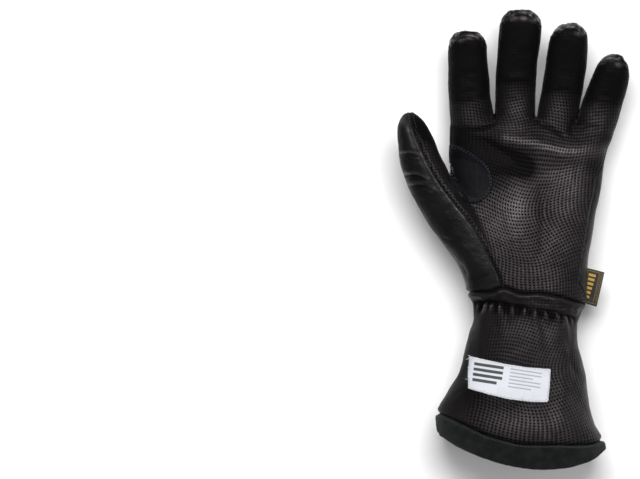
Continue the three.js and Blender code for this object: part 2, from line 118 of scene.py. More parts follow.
# One row for each section of a finger, from inside the hand to the tip: centre in plan, half
# width, height of the centre and half depth.
FINGERS = {
    "index": np.array([
        [-29.4, 65.8, 15.0, 25, 11.5], [-30.3, 82.0, 16.1, 24.5, 14], [-30.9, 93.7, 16.2, 24.3, 14.6],
        [-32.0, 104.0, 15.6, 24.3, 14.6], [-32.8, 114.3, 15.5, 24.8, 14.3], [-33.4, 126.1, 14.8, 26.5, 13.9],
        [-33.9, 136.3, 14.5, 29, 13.4], [-33.8, 143.7, 13.9, 31.5, 12.6], [-33.4, 148.8, 11.7, 33.3, 10.6],
        [-33.1, 151.8, 8.4, 34.4, 7.6], [-33.0, 153.7, 0.4, 35, 0.4]]),
    "middle": np.array([
        [0.0, 65.8, 14.0, 25, 11.5], [0.6, 82.0, 15.1, 24.5, 14], [1.1, 93.7, 14.9, 24.3, 14.6],
        [1.5, 105.5, 14.8, 24.5, 14.6], [1.9, 118.7, 15.2, 25.8, 14.4], [2.8, 131.9, 15.1, 28.8, 14.2],
        [4.1, 145.2, 15.4, 32.8, 13.8], [5.0, 154.7, 15.6, 36, 13.2], [5.4, 161.3, 14.4, 38.2, 11.6],
        [5.7, 166.0, 11.0, 39.8, 8.8], [5.9, 168.7, 6.6, 40.6, 5.4], [5.9, 169.7, 0.4, 41, 0.4]]),
    "ring": np.array([
        [28.7, 64.3, 13.2, 26, 11.5], [31.6, 80.5, 15.0, 25.2, 13.8], [33.0, 93.7, 14.9, 25, 14.4],
        [34.9, 105.5, 14.7, 25.3, 14.4], [37.2, 118.7, 15.1, 27, 14.1], [39.0, 131.9, 15.0, 30.2, 13.8],
        [40.3, 143.0, 14.6, 33.6, 13.3], [40.6, 149.6, 13.6, 35.8, 12], [40.3, 154.3, 11.0, 37.4, 9.4],
        [40.0, 157.4, 7.3, 38.4, 6.4], [39.8, 159.3, 0.4, 39, 0.4]]),
    "little": np.array([
        [50.0, 56.4, 11.5, 27, 11], [54.8, 68.7, 13.6, 26.2, 13], [59.9, 82.7, 14.7, 25.8, 13.8],
        [63.9, 94.4, 14.4, 26.2, 13.8], [67.1, 104.7, 14.0, 27.6, 13.4], [70.0, 113.6, 13.7, 29.6, 12.9],
        [72.2, 120.9, 13.1, 31.8, 12.2], [73.2, 126.8, 11.9, 33.6, 10.9], [73.7, 131.6, 9.6, 35, 8.6],
        [74.0, 134.9, 6.4, 36, 5.6], [74.0, 136.8, 0.4, 36.6, 0.4]]),
    "thumb": np.array([
        [-13.2, -44.5, 11.5, 29, 13], [-17.4, -32.7, 13.9, 30, 17], [-24.3, -18.0, 14.7, 31.5, 20],
        [-35.3, 3.3, 17.6, 33.5, 21], [-48.5, 25.4, 19.7, 36, 20], [-59.2, 43.0, 18.7, 38, 18],
        [-67.3, 58.4, 16.5, 39.6, 16], [-72.0, 71.7, 13.5, 41, 14], [-75.3, 82.0, 10.6, 42.2, 11.6],
        [-76.9, 88.3, 7.6, 43, 8.6], [-77.6, 91.8, 4.4, 43.5, 5.2], [-77.9, 93.4, 0.4, 43.8, 0.4]]),
}
# The knuckle guard: x across the hand, then rear edge, two sewn channels and front edge.
GUARD = np.array([
    [-62, 28, 46, 65, 80], [-45, 25.5, 45, 65, 83], [-20, 21.5, 43, 64, 84.5], [8, 16, 37.5, 58.5, 80],
    [36, 10, 30, 50.5, 72.5], [60, 6, 23.5, 42.5, 63], [82, 6, 20, 36, 52]], float)

# Lines across the hand (x, y), and closed outlines in plan.
WRIST_SEAM = [[-70, -38.6], [-35.3, -38.6], [-17.6, -38.6], [-11.8, -36.0], [-5.9, -35.6], [4.4, -39.7],
              [19.1, -39.7], [33.8, -42.3], [50.7, -46.7], [90, -49.6]]
BACK_EDGE = [[-70, -2.6], [-38.2, -2.6], [-21.3, -4.8], [-6.6, -11.4], [8.1, -19.5], [26.5, -27.6],
             [44.8, -33.4], [63.2, -36.4], [90, -37.1]]
HEM_SEAM = [[-80, -117], [-56, -127.5], [-36.8, -136.2], [-22.8, -142.9], [-8.1, -147.4], [5.9, -150.3],
            [30.9, -150.5], [47.8, -150.4], [58, -149.6], [66, -146.5], [90, -136]]
THUMB_SEAM = [[-90, 110], [-77.9, 102.5], [-76.4, 93.0], [-73.9, 82.0], [-69.1, 68.7], [-62.5, 54.8],
              [-54.4, 40.8], [-43.4, 26.1], [-32.3, 12.1], [-22.8, -2.6], [-15.4, -17.3], [-10.3, -29.8],
              [-7.7, -48], [-120, -48], [-120, 110]]
THUMB_BACK = [[-45.2, 53], [-48.7, 60], [-50.7, 66], [-55.9, 77], [-65.4, 94], [-72, 110], [-76, 100],
              [-74, 84], [-69.5, 66], [-63, 50], [-54, 33], [-45, 17], [-38, 4], [-31, -6], [-27, 10],
              [-33, 28], [-39, 42]]
PATCH = [[-49.5, 69], [-42.6, 69.5], [-36.0, 66.5], [-28.7, 62.1], [-21.3, 56.2], [-16.9, 48.9],
         [-15.8, 40.8], [-19.1, 32.3], [-26.1, 27.2], [-34.2, 26.8], [-39.3, 30.1], [-43.0, 37.1],
         [-45.8, 46.7], [-48.5, 56]]
PALM_LABEL = [[-33.1, -85.3], [25.6, -94.4], [23.7, -119.4], [-34.8, -110.9]]
LABEL_LINE = [[-32.4, -85.9], [-20, -88.8], [-8, -91.4], [8, -94.0], [26.0, -95.4], [25.2, -107.5], [23.9, -119.5], [10, -119.2], [-6, -117.2],
              [-20, -113.6], [-34.3, -109.4], [-33.8, -98.0]]
BACK_LABEL = [[-30, -112], [22, -120], [24.5, -106], [18, -101.5], [-28, -94.5]]
BADGE = [[-15, 16.5], [-8, -8.5], [45, -20.5], [46, 4.5]]


def shifted(points):
    return np.array(points, float) - np.array(CENTRE)


# ------------------------------------------------------------------ smooth tables
def hermite(x, y, q):
    """Monotone cubic through (x, y), x rising, evaluated at q."""
    x, y = np.asarray(x, float), np.asarray(y, float)
    h = np.diff(x)
    d = np.diff(y) / h
    m = np.zeros_like(y)
    m[1:-1] = np.where(d[:-1] * d[1:] > 0, 2 * d[:-1] * d[1:] / (d[:-1] + d[1:] + 1e-12 * np.sign(d[:-1] + d[1:] + 1e-30)), 0)
    m[0], m[-1] = d[0], d[-1]
    q = np.clip(q, x[0], x[-1])
    i = np.clip(np.searchsorted(x, q) - 1, 0, len(x) - 2)
    t = (q - x[i]) / h[i]
    return ((2 * t ** 3 - 3 * t ** 2 + 1) * y[i] + (t ** 3 - 2 * t ** 2 + t) * h[i] * m[i]
            + (-2 * t ** 3 + 3 * t ** 2) * y[i + 1] + (t ** 3 - t ** 2) * h[i] * m[i + 1])


def cardinal(points, n, closed=False):
    """A smooth curve of n points through the given ones, evenly spaced."""
    p = np.asarray(points, float)
    q = np.vstack([p[-1], p, p[0], p[1]]) if closed else np.vstack([2 * p[0] - p[1], p, 2 * p[-1] - p[-2]])
    out = []
    for i in range(1, len(q) - 2):
        t = np.linspace(0, 1, 24, endpoint=False)[:, None]
        a, b, c, d = q[i - 1], q[i], q[i + 1], q[i + 2]
        out.append(0.5 * (2 * b + (c - a) * t + (2 * a - 5 * b + 4 * c - d) * t ** 2 + (3 * b - a - 3 * c + d) * t ** 3))
    out.append(p[:1] if closed else p[-1:])
    out = np.vstack(out)
    s = np.concatenate([[0], np.cumsum(np.linalg.norm(np.diff(out, axis=0), axis=1))])
    at = np.linspace(0, s[-1], n, endpoint=not closed)
    return np.stack([np.interp(at, s, out[:, k]) for k in range(out.shape[1])], 1)


def step(a, b, x):
    t = np.clip((x - a) / (b - a), 0, 1)
    return t * t * (3 - 2 * t)


def bump(d, w):
    return np.exp(-(d / w) ** 2)


# ------------------------------------------------------------------ the skin as a field on a grid
X0, X1, Y0, Y1, Z0, Z1 = -88.0, 88.0, -174.0, 173.0, -4.0, 75.0
gx = np.arange(X0, X1, GRID)
gy = np.arange(Y0, Y1, GRID)
gz = np.arange(Z0, Z1, GRID)
NX, NY, NZ = len(gx), len(gy), len(gz)
PX, PY = np.meshgrid(gx, gy, indexing="ij")

body_y = BODY[::-1, 1] - CENTRE[1]
fine_y = np.arange(body_y[0] - 6, body_y[-1] + 6, 0.5)
BODY_FINE = {}
for k, name in enumerate(BODY_COLUMNS):
    v = BODY[::-1, k].copy()
    if name in ("xl", "xr"):
        v -= CENTRE[0]
    BODY_FINE[name] = hermite(body_y, v, fine_y)
BODY_FINE["t1"] = 0.5 * (BODY_FINE["yr"] - BODY_FINE["yl"])
BODY_FINE["t2"] = 0.5 * (BODY_FINE["yl"] + BODY_FINE["yr"]) - BODY_FINE["yc"]


def body_maps(x, y):
    """Section values of the hand and cuff at plan points."""
    yc = np.array(y, float)
    for _ in range(4):
        xl, xr = np.interp(yc, fine_y, BODY_FINE["xl"]), np.interp(yc, fine_y, BODY_FINE["xr"])
        u = np.clip((x - (xl + xr) / 2) / ((xr - xl) / 2), -1.15, 1.15)
        yc = 0.5 * yc + 0.5 * (y - np.interp(yc, fine_y, BODY_FINE["t1"]) * u - np.interp(yc, fine_y, BODY_FINE["t2"]) * u * u)
    get = lambda n: np.interp(yc, fine_y, BODY_FINE[n])
    xl, xr, zb, zf = get("xl"), get("xr"), get("zb"), get("zf")
    return {"yc": yc, "cx": (xl + xr) / 2, "a": (xr - xl) / 2, "cz": (zb + zf) / 2, "b": (zf - zb) / 2, "p": get("p")}


def finger_axis(rows, n=110):
    """The finger's axis and sections at n places: x, y, width, z, depth, arc length."""
    s = np.concatenate([[0], np.cumsum(np.linalg.norm(np.diff(rows[:, :2], axis=0), axis=1))])
    q = s[-1] * (1 - np.linspace(1, 0, n) ** 1.35)
    # the squares of the width and depth are what is drawn smoothly, so the end comes out round
    fine = np.stack([np.sqrt(np.maximum(hermite(s, rows[:, k] ** 2, q), 0.01)) if k in (2, 4) else hermite(s, rows[:, k], q) for k in range(5)], 1)
    fine[:, :2] -= np.array(CENTRE)
    return fine, q


AXES = {name: finger_axis(rows) for name, rows in FINGERS.items()}


def finger_maps(name, x, y):
    """Nearest section values of a finger at plan points: side offset, half width, z, depth, t."""
    fine, q = AXES[name]
    shape = x.shape
    px, py = x.ravel(), y.ravel()
    best = np.full(px.shape, 1e18)
    side, t = np.zeros(px.shape), np.zeros(px.shape)
    for i in range(len(fine) - 1):
        ax, ay = fine[i, 0], fine[i, 1]
        dx, dy = fine[i + 1, 0] - ax, fine[i + 1, 1] - ay
        l = math.hypot(dx, dy)
        k = ((px - ax) * dx + (py - ay) * dy) / l ** 2
        lo = -1e9 if i == 0 else 0.0
        hi = 1e9 if i == len(fine) - 2 else 1.0
        kc = np.clip(k, lo, hi)
        ex, ey = px - ax - kc * dx, py - ay - kc * dy
        d2 = ex * ex + ey * ey
        m = d2 < best
        best = np.where(m, d2, best)
        side = np.where(m, ((px - ax) * dy - (py - ay) * dx) / l, side)
        t = np.where(m, q[i] + kc * l, t)
    tc = np.clip(t, q[0], q[-1])
    out = {"w": np.sqrt(np.interp(tc, q, fine[:, 2] ** 2)).reshape(shape), "z": np.interp(tc, q, fine[:, 3]).reshape(shape),
           "d": np.sqrt(np.interp(tc, q, fine[:, 4] ** 2)).reshape(shape)}
    out["side"], out["t"] = side.reshape(shape), t.reshape(shape)
    out["end"] = q[-1]
    return out


def smooth_min(a, b, k):
    h = np.maximum(k - np.abs(a - b), 0) / k
    return np.minimum(a, b) - h * h * k * 0.25


def as_distance(f):
    """Divides a field by its slope, so that near zero it is a distance."""
    g = np.gradient(f, GRID)
    steep = np.sqrt(g[0] ** 2 + g[1] ** 2 + g[2] ** 2)
    return np.clip(f / np.maximum(steep, 0.01), -12, 12)


def superellipse(lateral, z, a, b, p):
    X = np.maximum(np.abs(lateral) / a, 1e-4)
    Z = np.maximum(np.abs(z) / b, 1e-4)
    return (X ** p + Z ** p) ** (1 / p) - 1


bm = body_maps(PX, PY)
ZZ = gz[None, None, :].astype(np.float32)
f32 = lambda v: v[:, :, None].astype(np.float32)
g = superellipse(f32(PX - bm["cx"]), ZZ - f32(bm["cz"]), f32(bm["a"]), f32(bm["b"]), f32(bm["p"]))
FIELD = as_distance(g)
y_top = body_y[-1]
FIELD = np.maximum(FIELD, f32(bm["yc"] - y_top))
y_end = body_y[0]
del g

HAND = FIELD.copy()
for name, rows in FINGERS.items():
    lo = rows[:, :2].min(0) - np.array(CENTRE) - 27
    hi = rows[:, :2].max(0) - np.array(CENTRE) + 27
    i0, i1 = np.searchsorted(gx, [lo[0], hi[0]])
    j0, j1 = np.searchsorted(gy, [lo[1], hi[1]])
    sx, sy = PX[i0:i1, j0:j1], PY[i0:i1, j0:j1]
    fm = finger_maps(name, sx, sy)
    w, d = np.maximum(fm["w"], 0.4), np.maximum(fm["d"], 0.4)
    if name == "thumb":
        # flatter on the side towards the palm, where it presses against the web
        slim = np.interp(sy, [-18, 3, 25, 43, 58, 74, 86], [0, 3.5, 6, 6.5, 4, 1, 0])
        w = w - slim * step(0, 9, fm["side"])
    p = 2.25
    g = superellipse(f32(fm["side"]), ZZ - f32(fm["z"]), f32(w), f32(d), np.float32(p))
    dist = as_distance(g)
    widest = rows[:, 2].max()
    dist = np.maximum(dist, f32(np.maximum(fm["t"] - fm["end"], -fm["t"])))
    dist = np.maximum(dist, f32(np.abs(fm["side"]) - widest - 0.6))
    dist = np.maximum(dist, np.abs(ZZ - f32(fm["z"])) - 20.0)
    k = f32(3.2 + 4.5 * (1 - step(5, 45, sy))) if name == "thumb" else 4.5
    # a finger melts into the hand, but meets the next finger in a sharp valley
    FIELD[i0:i1, j0:j1] = np.minimum(FIELD[i0:i1, j0:j1], smooth_min(HAND[i0:i1, j0:j1], dist, k))
# the hem's lowest edge lies flat on the surface
FIELD = np.maximum(FIELD, 0.02 - ZZ + np.zeros_like(FIELD[:, :, :1]))


def sample(field, p):
    """Trilinear value of a grid field at points."""
    q = (p - np.array([X0, Y0, Z0])) / GRID
    i = np.clip(np.floor(q).astype(int), 0, np.array([NX, NY, NZ]) - 2)
    t = np.clip(q - i, 0, 1)
    out = 0
    for a in (0, 1):
        for b in (0, 1):
            for c in (0, 1):
                w = (t[:, 0] if a else 1 - t[:, 0]) * (t[:, 1] if b else 1 - t[:, 1]) * (t[:, 2] if c else 1 - t[:, 2])
                out = out + w * field[i[:, 0] + a, i[:, 1] + b, i[:, 2] + c]
    return out


def slope(field, p, e=0.7):
    g = np.stack([sample(field, p + v) - sample(field, p - v) for v in np.eye(3) * e], 1) / (2 * e)
    return g


def surface_nets(field):
    """Quads of the field's zero surface."""
    s = field < 0
    c = s[:-1, :-1, :-1].astype(np.int8)
    for a, b, d in ((1, 0, 0), (0, 1, 0), (0, 0, 1), (1, 1, 0), (1, 0, 1), (0, 1, 1), (1, 1, 1)):
        c = c + s[a:NX - 1 + a, b:NY - 1 + b, d:NZ - 1 + d]
    ids = np.full(c.shape, -1, np.int32)
    cell = np.argwhere((c > 0) & (c < 8))
    ids[tuple(cell.T)] = np.arange(len(cell))
    total, count = np.zeros((len(cell), 3)), np.zeros(len(cell))
    corner = [(a, b, d) for a in (0, 1) for b in (0, 1) for d in (0, 1)]
    for u in corner:
        for axis in range(3):
            if u[axis]:
                continue
            v = list(u)
            v[axis] = 1
            fu = field[cell[:, 0] + u[0], cell[:, 1] + u[1], cell[:, 2] + u[2]]
            fv = field[cell[:, 0] + v[0], cell[:, 1] + v[1], cell[:, 2] + v[2]]
            m = (fu < 0) != (fv < 0)
            t = np.where(m, fu / np.where(m, fu - fv, 1), 0)
            at = np.array(u, float)[None] + t[:, None] * (np.array(v) - np.array(u))[None]
            total[m] += at[m]
            count[m] += 1
    points = (cell + total / count[:, None]) * GRID + np.array([X0, Y0, Z0])
    quads = []
    for axis in range(3):
        o = [b for b in range(3) if b != axis]
        a = s[1:-1, 1:-1, 1:-1]
        sl = [slice(1, -1)] * 3
        sl[axis] = slice(2, None)
        b = s[tuple(sl)]
        for flip, m in ((False, a & ~b), (True, ~a & b)):
            e = np.argwhere(m) + 1
            k = []
            for du, dv in ((0, 0), (-1, 0), (-1, -1), (0, -1)):
                q = e.copy()
                q[:, o[0]] += du
                q[:, o[1]] += dv
                k.append(ids[tuple(q.T)])
            k = np.stack(k, 1)
            turn = flip ^ (axis == 1)
            quads.append(k[:, ::-1] if turn else k)
    return points, np.vstack(quads)


P, Q = surface_nets(FIELD)
# relax along the surface, then put each point back on it
edges = np.vstack([Q[:, [0, 1]], Q[:, [1, 2]], Q[:, [2, 3]], Q[:, [3, 0]]])
for _ in range(4):
    acc = np.zeros_like(P)
    n = np.zeros(len(P))
    for a, b in ((0, 1), (1, 0)):
        for c in range(3):
            acc[:, c] += np.bincount(edges[:, a], P[edges[:, b], c], len(P))
        n += np.bincount(edges[:, a], minlength=len(P))
    P = 0.4 * P + 0.6 * acc / n[:, None]
    G = slope(FIELD, P)
    G /= np.maximum(np.linalg.norm(G, axis=1), 1e-6)[:, None]
    P = P - G * np.clip(sample(FIELD, P), -0.6, 0.6)[:, None]
N = slope(FIELD, P)
N /= np.maximum(np.linalg.norm(N, axis=1), 1e-6)[:, None]
d1 = np.linalg.norm(P[Q[:, 0]] - P[Q[:, 2]], axis=1)
d2 = np.linalg.norm(P[Q[:, 1]] - P[Q[:, 3]], axis=1)
first = d1 <= d2
T = np.vstack([Q[first][:, [0, 1, 2]], Q[first][:, [0, 2, 3]], Q[~first][:, [1, 2, 3]], Q[~first][:, [1, 3, 0]]])
print("skin", len(P), "points", len(T), "triangles")

# ------------------------------------------------------------------ fields that part the panels
def polygon_distance(x, y, points):
    """Signed distance in plan to a closed outline, negative inside."""
    pts = np.asarray(points, float)
    best = np.full(x.shape, 1e18)
    inside = np.zeros(x.shape, bool)
    for i in range(len(pts)):
        ax, ay = pts[i - 1]
        bx, by = pts[i]
        dx, dy = bx - ax, by - ay
        k = np.clip(((x - ax) * dx + (y - ay) * dy) / (dx * dx + dy * dy), 0, 1)
        best = np.minimum(best, (x - ax - k * dx) ** 2 + (y - ay - k * dy) ** 2)
        cross = ((ay > y) != (by > y)) & (x < (bx - ax) * (y - ay) / (by - ay + 1e-12) + ax)
        inside ^= cross
    d = np.sqrt(best)
    return np.where(inside, -d, d)


def line_distance(x, y, points):
    """Distance in plan to an open line, and how far along it, from 0 to 1."""
    pts = np.asarray(points, float)
    l = np.linalg.norm(np.diff(pts, axis=0), axis=1)
    s = np.concatenate([[0], np.cumsum(l)])
    best = np.full(x.shape, 1e18)
    along = np.zeros(x.shape)
    for i in range(len(pts) - 1):
        ax, ay = pts[i]
        dx, dy = pts[i + 1] - pts[i]
        k = np.clip(((x - ax) * dx + (y - ay) * dy) / (dx * dx + dy * dy), 0, 1)
        d2 = (x - ax - k * dx) ** 2 + (y - ay - k * dy) ** 2
        m = d2 < best
        best = np.where(m, d2, best)
        along = np.where(m, s[i] + k * l[i], along)
    return np.sqrt(best), along / s[-1]


def across(points, x):
    """y of a line across the hand at x."""
    c = cardinal(shifted(points), 160)
    o = np.argsort(c[:, 0])
    return np.interp(x, c[o, 0], c[o, 1])


guard_x = GUARD[:, 0] - CENTRE[0]
guard_at = lambda k, x: hermite(guard_x, GUARD[:, k] - CENTRE[1], x)
TIP_SEAM, CAP_BACK = 4.4, 27.0
FOUR = ["index", "middle", "ring", "little"]


def plan_columns(p):
    """Everything that the panels and the relief need at the points p, one column each."""
    x, y, z = p.T
    c = {}
    b = body_maps(x, y)
    c["yc"], c["u"] = b["yc"], (x - b["cx"]) / b["a"]
    c["bz"], c["bb"] = b["cz"], b["b"]
    best = np.full(len(p), 1e9)
    for k, name in enumerate(FOUR):
        f = finger_maps(name, x, y)
        c["t_" + name] = f["t"]
        c["s_" + name] = f["side"]
        d = np.abs(f["side"]) / np.maximum(f["w"], 9) + np.maximum(-f["t"], 0) * 0.02
        m = d < best
        best = np.where(m, d, best)
        for key, value in (("fz", f["z"]), ("fd", np.maximum(f["d"], 9)), ("ft", f["t"]), ("fe", np.full(len(p), f["end"])),
                           ("fs", f["side"]), ("fk", np.full(len(p), float(k)))):
            c[key] = np.where(m, value, c.get(key, 0.0))
    t = finger_maps("thumb", x, y)
    c["t_thumb"], c["s_thumb"], c["thumb_z"] = t["t"], t["side"], t["z"] - 0.25 * t["d"]
    # seam heights: those of the fingers at the fingers, of the hand below them
    root = across([[-98, 79], [-54, 80], [-30, 86], [-13, 88.6], [16, 88], [32, 85], [46, 73], [57, 68], [92, 58]], x)
    w = step(-26, -2, y - root)
    left = np.interp(-c["yc"], [-87, -56, -39, -20, 36, 50], [0.3, 0.2, 0.1, 0.0, 0.0, -0.3])
    right = np.interp(-c["yc"], [-87, -70, 31, 41, 50], [0.5, 0.6, 0.6, 0.3, -0.3])
    mix = step(-0.6, 0.6, c["u"])
    hand_front = b["cz"] + (left + (right - left) * mix) * b["b"]
    hand_back = b["cz"] - 0.3 * b["b"]
    c["front"] = z - (hand_front + (c["fz"] + 0.36 * c["fd"] - hand_front) * w)
    c["back"] = (hand_back + (c["fz"] - 0.36 * c["fd"] - hand_back) * w) - z
    c["mouth"] = b["yc"] - y_end
    c["hem"] = across(HEM_SEAM, x) - y
    c["cuff"] = across(WRIST_SEAM, x) - y
    c["cuff_up"] = z - (b["cz"] - 0.35 * b["b"])
    c["back_edge"] = across(BACK_EDGE, x) - y
    outline = lambda q: polygon_distance(x, y, cardinal(shifted(q), 140, closed=True))
    c["thumb_back"] = np.minimum(-outline(THUMB_BACK), c["thumb_z"] - z)
    seam = cardinal(shifted(THUMB_SEAM[:13]), 140)
    c["thumb_outer"] = -polygon_distance(x, y, np.vstack([seam, shifted([[-120, -48], [-120, 110]])]))
    for name in FOUR:
        s = np.abs(c["s_" + name])
        end = AXES[name][1][-1]
        near = 19.0 - s
        tip = c["t_" + name] - (end - TIP_SEAM - 8.5 * (s / 14.0) ** 2)
        dip = c["t_" + name] - (end - CAP_BACK + 5.0 * (s / 14.0) ** 2)
        c["cap_" + name] = np.minimum(near, np.maximum(tip, np.minimum(dip, c["back"])))
    c["patch"] = -outline(PATCH)
    c["rear"] = guard_at(1, x) + 5 - y
    return c


P, T = P.copy(), T.copy()
COLS = plan_columns(P)
NAMES = list(COLS)
A = np.hstack([N, np.stack([COLS[n] for n in NAMES], 1)])


def col(name, a=None):
    a = A if a is None else a
    return a[:, 3 + NAMES.index(name)]


def cut(tris, f, snap=0.2):
    """Parts triangles along f = 0, adding points on their edges. Returns both sides."""
    global P, A
    f = np.where(np.abs(f) < snap * GRID, 0.0, f)
    s = (f >= 0)[tris]
    n = s.sum(1)
    pos, neg = [tris[n == 3]], [tris[n == 0]]
    mixed = (n == 1) | (n == 2)
    t, st, k = tris[mixed], s[mixed], n[mixed]
    lone = np.where(k == 1, np.argmax(st, 1), np.argmin(st, 1))
    r = np.arange(len(t))
    a, b, c = t[r, lone], t[r, (lone + 1) % 3], t[r, (lone + 2) % 3]
    made = {}
    both = np.vstack([np.stack([a, b], 1), np.stack([a, c], 1)])
    key = np.sort(both, 1)
    uniq, inv = np.unique(key, axis=0, return_inverse=True)
    inv = inv.ravel()
    f0, f1 = f[uniq[:, 0]], f[uniq[:, 1]]
    w = np.where(f0 == f1, 0.5, f0 / np.where(f0 == f1, 1, f0 - f1))[:, None]
    new = len(P) + np.arange(len(uniq))
    P = np.vstack([P, P[uniq[:, 0]] * (1 - w) + P[uniq[:, 1]] * w])
    A = np.vstack([A, A[uniq[:, 0]] * (1 - w) + A[uniq[:, 1]] * w])
    new = np.where(f0 == 0, uniq[:, 0], np.where(f1 == 0, uniq[:, 1], new))
    p, q = new[inv[:len(t)]], new[inv[len(t):]]
    one = np.stack([a, p, q], 1)
    two = np.vstack([np.stack([p, b, c], 1), np.stack([p, c, q], 1)])
    up = k == 1
    pos += [one[up], two[np.tile(~up, 2)]]
    neg += [one[~up], two[np.tile(up, 2)]]
    tidy = lambda v: v[(v[:, 0] != v[:, 1]) & (v[:, 1] != v[:, 2]) & (v[:, 2] != v[:, 0])]
    return tidy(np.vstack(pos)), tidy(np.vstack(neg))


def islands(tris):
    """Connected groups of triangles, the largest first."""
    used, t = np.unique(tris, return_inverse=True)
    t = t.reshape(-1, 3)
    label = np.arange(len(used))
    while True:
        low = label[t].min(1)
        before = label.copy()
        for k in range(3):
            np.minimum.at(label, t[:, k], low)
        label = label[label]
        if (label == before).all():
            break
    group = label[t[:, 0]]
    ids, count = np.unique(group, return_counts=True)
    return [tris[group == i] for i in ids[np.argsort(-count)]]


WHOLE = T.copy()
MOUTH_U = [-1.15, -1.04, -0.98, -0.92, -0.84, -0.74, -0.60, -0.30, 0.50, 0.76, 0.86, 0.93, 0.98, 1.03, 1.15]
MOUTH_V = [10.5, 9.4, 7.6, 5.6, 3.6, 2.0, 0.9, 0.2, 0.0, 0.8, 2.2, 4.4, 6.6, 8.4, 9.2]
T = cut(T, col("mouth") - 1.8 - hermite(MOUTH_U, MOUTH_V, col("u")))[0]
PIECES = {}
rest = T


def take(name, field):
    global rest
    piece, rest = cut(rest, field())
    PIECES[name] = piece


take("hem_band", lambda: col("hem"))
take("cuff_front", lambda: np.minimum(col("cuff"), col("cuff_up")))
for name in FOUR:
    take(name + "_tip_cap", lambda: col("cap_" + name))
take("thumb_back", lambda: col("thumb_back"))
take("thumb_outer", lambda: np.minimum(col("thumb_outer"), np.maximum(P[:, 2] - 20.0, -col("back_edge") + 14)))
take("cuff_back", lambda: np.minimum(col("back_edge"), 26.0 - P[:, 2]))
take("palm_panel", lambda: np.maximum(col("front"), np.minimum(P[:, 2] - col("thumb_z"), 22.0 - np.abs(col("s_thumb")))))
take("wrist_panel", lambda: np.minimum(col("back"), col("rear")))
take("back_panel", lambda: col("back"))
parts = islands(rest)[:5]
parts.sort(key=lambda t: P[t.ravel(), 0].mean())
for name, t in zip(["index_side", "fourchette_index_middle", "fourchette_middle_ring", "fourchette_ring_little", "little_side"], parts):
    PIECES[name] = t
for name in list(PIECES):
    groups = islands(PIECES[name])
    if len(groups) > 1:
        print(name, "groups", [len(g) for g in groups[:6]])
    PIECES[name] = groups[0]
print({k: len(v) for k, v in PIECES.items()})

# ------------------------------------------------------------------ sewn-on regions of the skin
def region(tris, field):
    piece, _ = cut(tris, field())
    return islands(piece)[0]


sharp = lambda pts: (lambda: -polygon_distance(P[:, 0], P[:, 1], shifted(pts)))
PATCH_T = region(np.vstack([PIECES[n] for n in ("palm_panel", "index_side")]), lambda: np.minimum(col("patch"), P[:, 2] - 27.0))
LABEL_T = region(PIECES["cuff_front"], sharp(LABEL_LINE))
BACK_LABEL_T = region(PIECES["cuff_back"], sharp(BACK_LABEL))
BADGE_T = region(np.vstack([PIECES[n] for n in ("wrist_panel", "back_panel", "cuff_back") if n in PIECES]),
                 lambda: np.minimum(-polygon_distance(P[:, 0], P[:, 1], shifted(BADGE)), 25.0 - P[:, 2]))


def guard_field():
    x, y, z = P.T
    f = np.minimum(y - guard_at(1, x), guard_at(4, x) - y)
    return np.minimum(f, 15.0 - z)


GUARD_T = region(WHOLE, guard_field)

# ------------------------------------------------------------------ seams between the panels
def border(tris):
    e = np.vstack([tris[:, [0, 1]], tris[:, [1, 2]], tris[:, [2, 0]]])
    key = np.sort(e, 1)
    _, inv, n = np.unique(key, axis=0, return_inverse=True, return_counts=True)
    return e[n[inv.ravel()] == 1]


def loops(tris):
    """The border of a piece as closed rings of point numbers, in the order of its faces."""
    nxt = {}
    for a, b in border(tris).tolist():
        nxt.setdefault(a, []).append(b)
    out = []
    while nxt:
        a = next(iter(nxt))
        ring = [a]
        while True:
            b = nxt[ring[-1]].pop()
            if not nxt[ring[-1]]:
                del nxt[ring[-1]]
            if b == ring[0] or b not in nxt:
                break
            ring.append(b)
        out.append(ring)
    return sorted(out, key=len, reverse=True)


EDGE_OF = {}
for name, t in PIECES.items():
    for a, b in border(t).tolist():
        EDGE_OF.setdefault((min(a, b), max(a, b)), []).append(name)

SEAM_KINDS = ["plain", "thumb", "side", "cap", "wrist", "hem", "cuffside", "mouth"]


def seam_kind(names, at):
    n = set(names)
    if P[at, 1] < -130 and n == {"hem_band"} and A[at, 3 + NAMES.index("yc")] < y_end + 9.5:
        return "mouth"
    if "hem_band" in n:
        return "hem"
    if n == {"palm_panel", "thumb_outer"}:
        return "thumb"
    if any(v.endswith("tip_cap") for v in n):
        return "cap"
    if n == {"cuff_front", "palm_panel"} or n == {"cuff_front", "thumb_outer"}:
        return "wrist"
    if n == {"cuff_front", "cuff_back"}:
        return "cuffside"
    if any(v.startswith("fourchette") or v.endswith("_side") for v in n):
        return "side"
    return "plain"


S_POINT, S_KIND, S_ARC, SEAM_RUNS = [], [], [], []
done = set()
for name, t in PIECES.items():
    for ring in loops(t):
        arc = 0.0
        run = []
        for a, b in zip(ring, ring[1:] + ring[:1]):
            l = float(np.linalg.norm(P[a] - P[b]))
            kind = seam_kind(EDGE_OF.get((min(a, b), max(a, b)), [name]), a)
            if run and run[-1][2] != kind:
                SEAM_RUNS.append((name, run[-1][2], [r[0] for r in run] + [run[-1][1]]))
                run = []
            run.append((a, b, kind))
            if (min(a, b), max(a, b)) not in done:
                done.add((min(a, b), max(a, b)))
                for k in (0.125, 0.375, 0.625, 0.875):
                    S_POINT.append(P[a] * (1 - k) + P[b] * k)
                    S_KIND.append(SEAM_KINDS.index(kind))
                    S_ARC.append(arc + k * l)
            arc += l
        if run:
            SEAM_RUNS.append((name, run[-1][2], [r[0] for r in run] + [run[-1][1]]))
S_POINT, S_KIND, S_ARC = np.array(S_POINT), np.array(S_KIND), np.array(S_ARC)
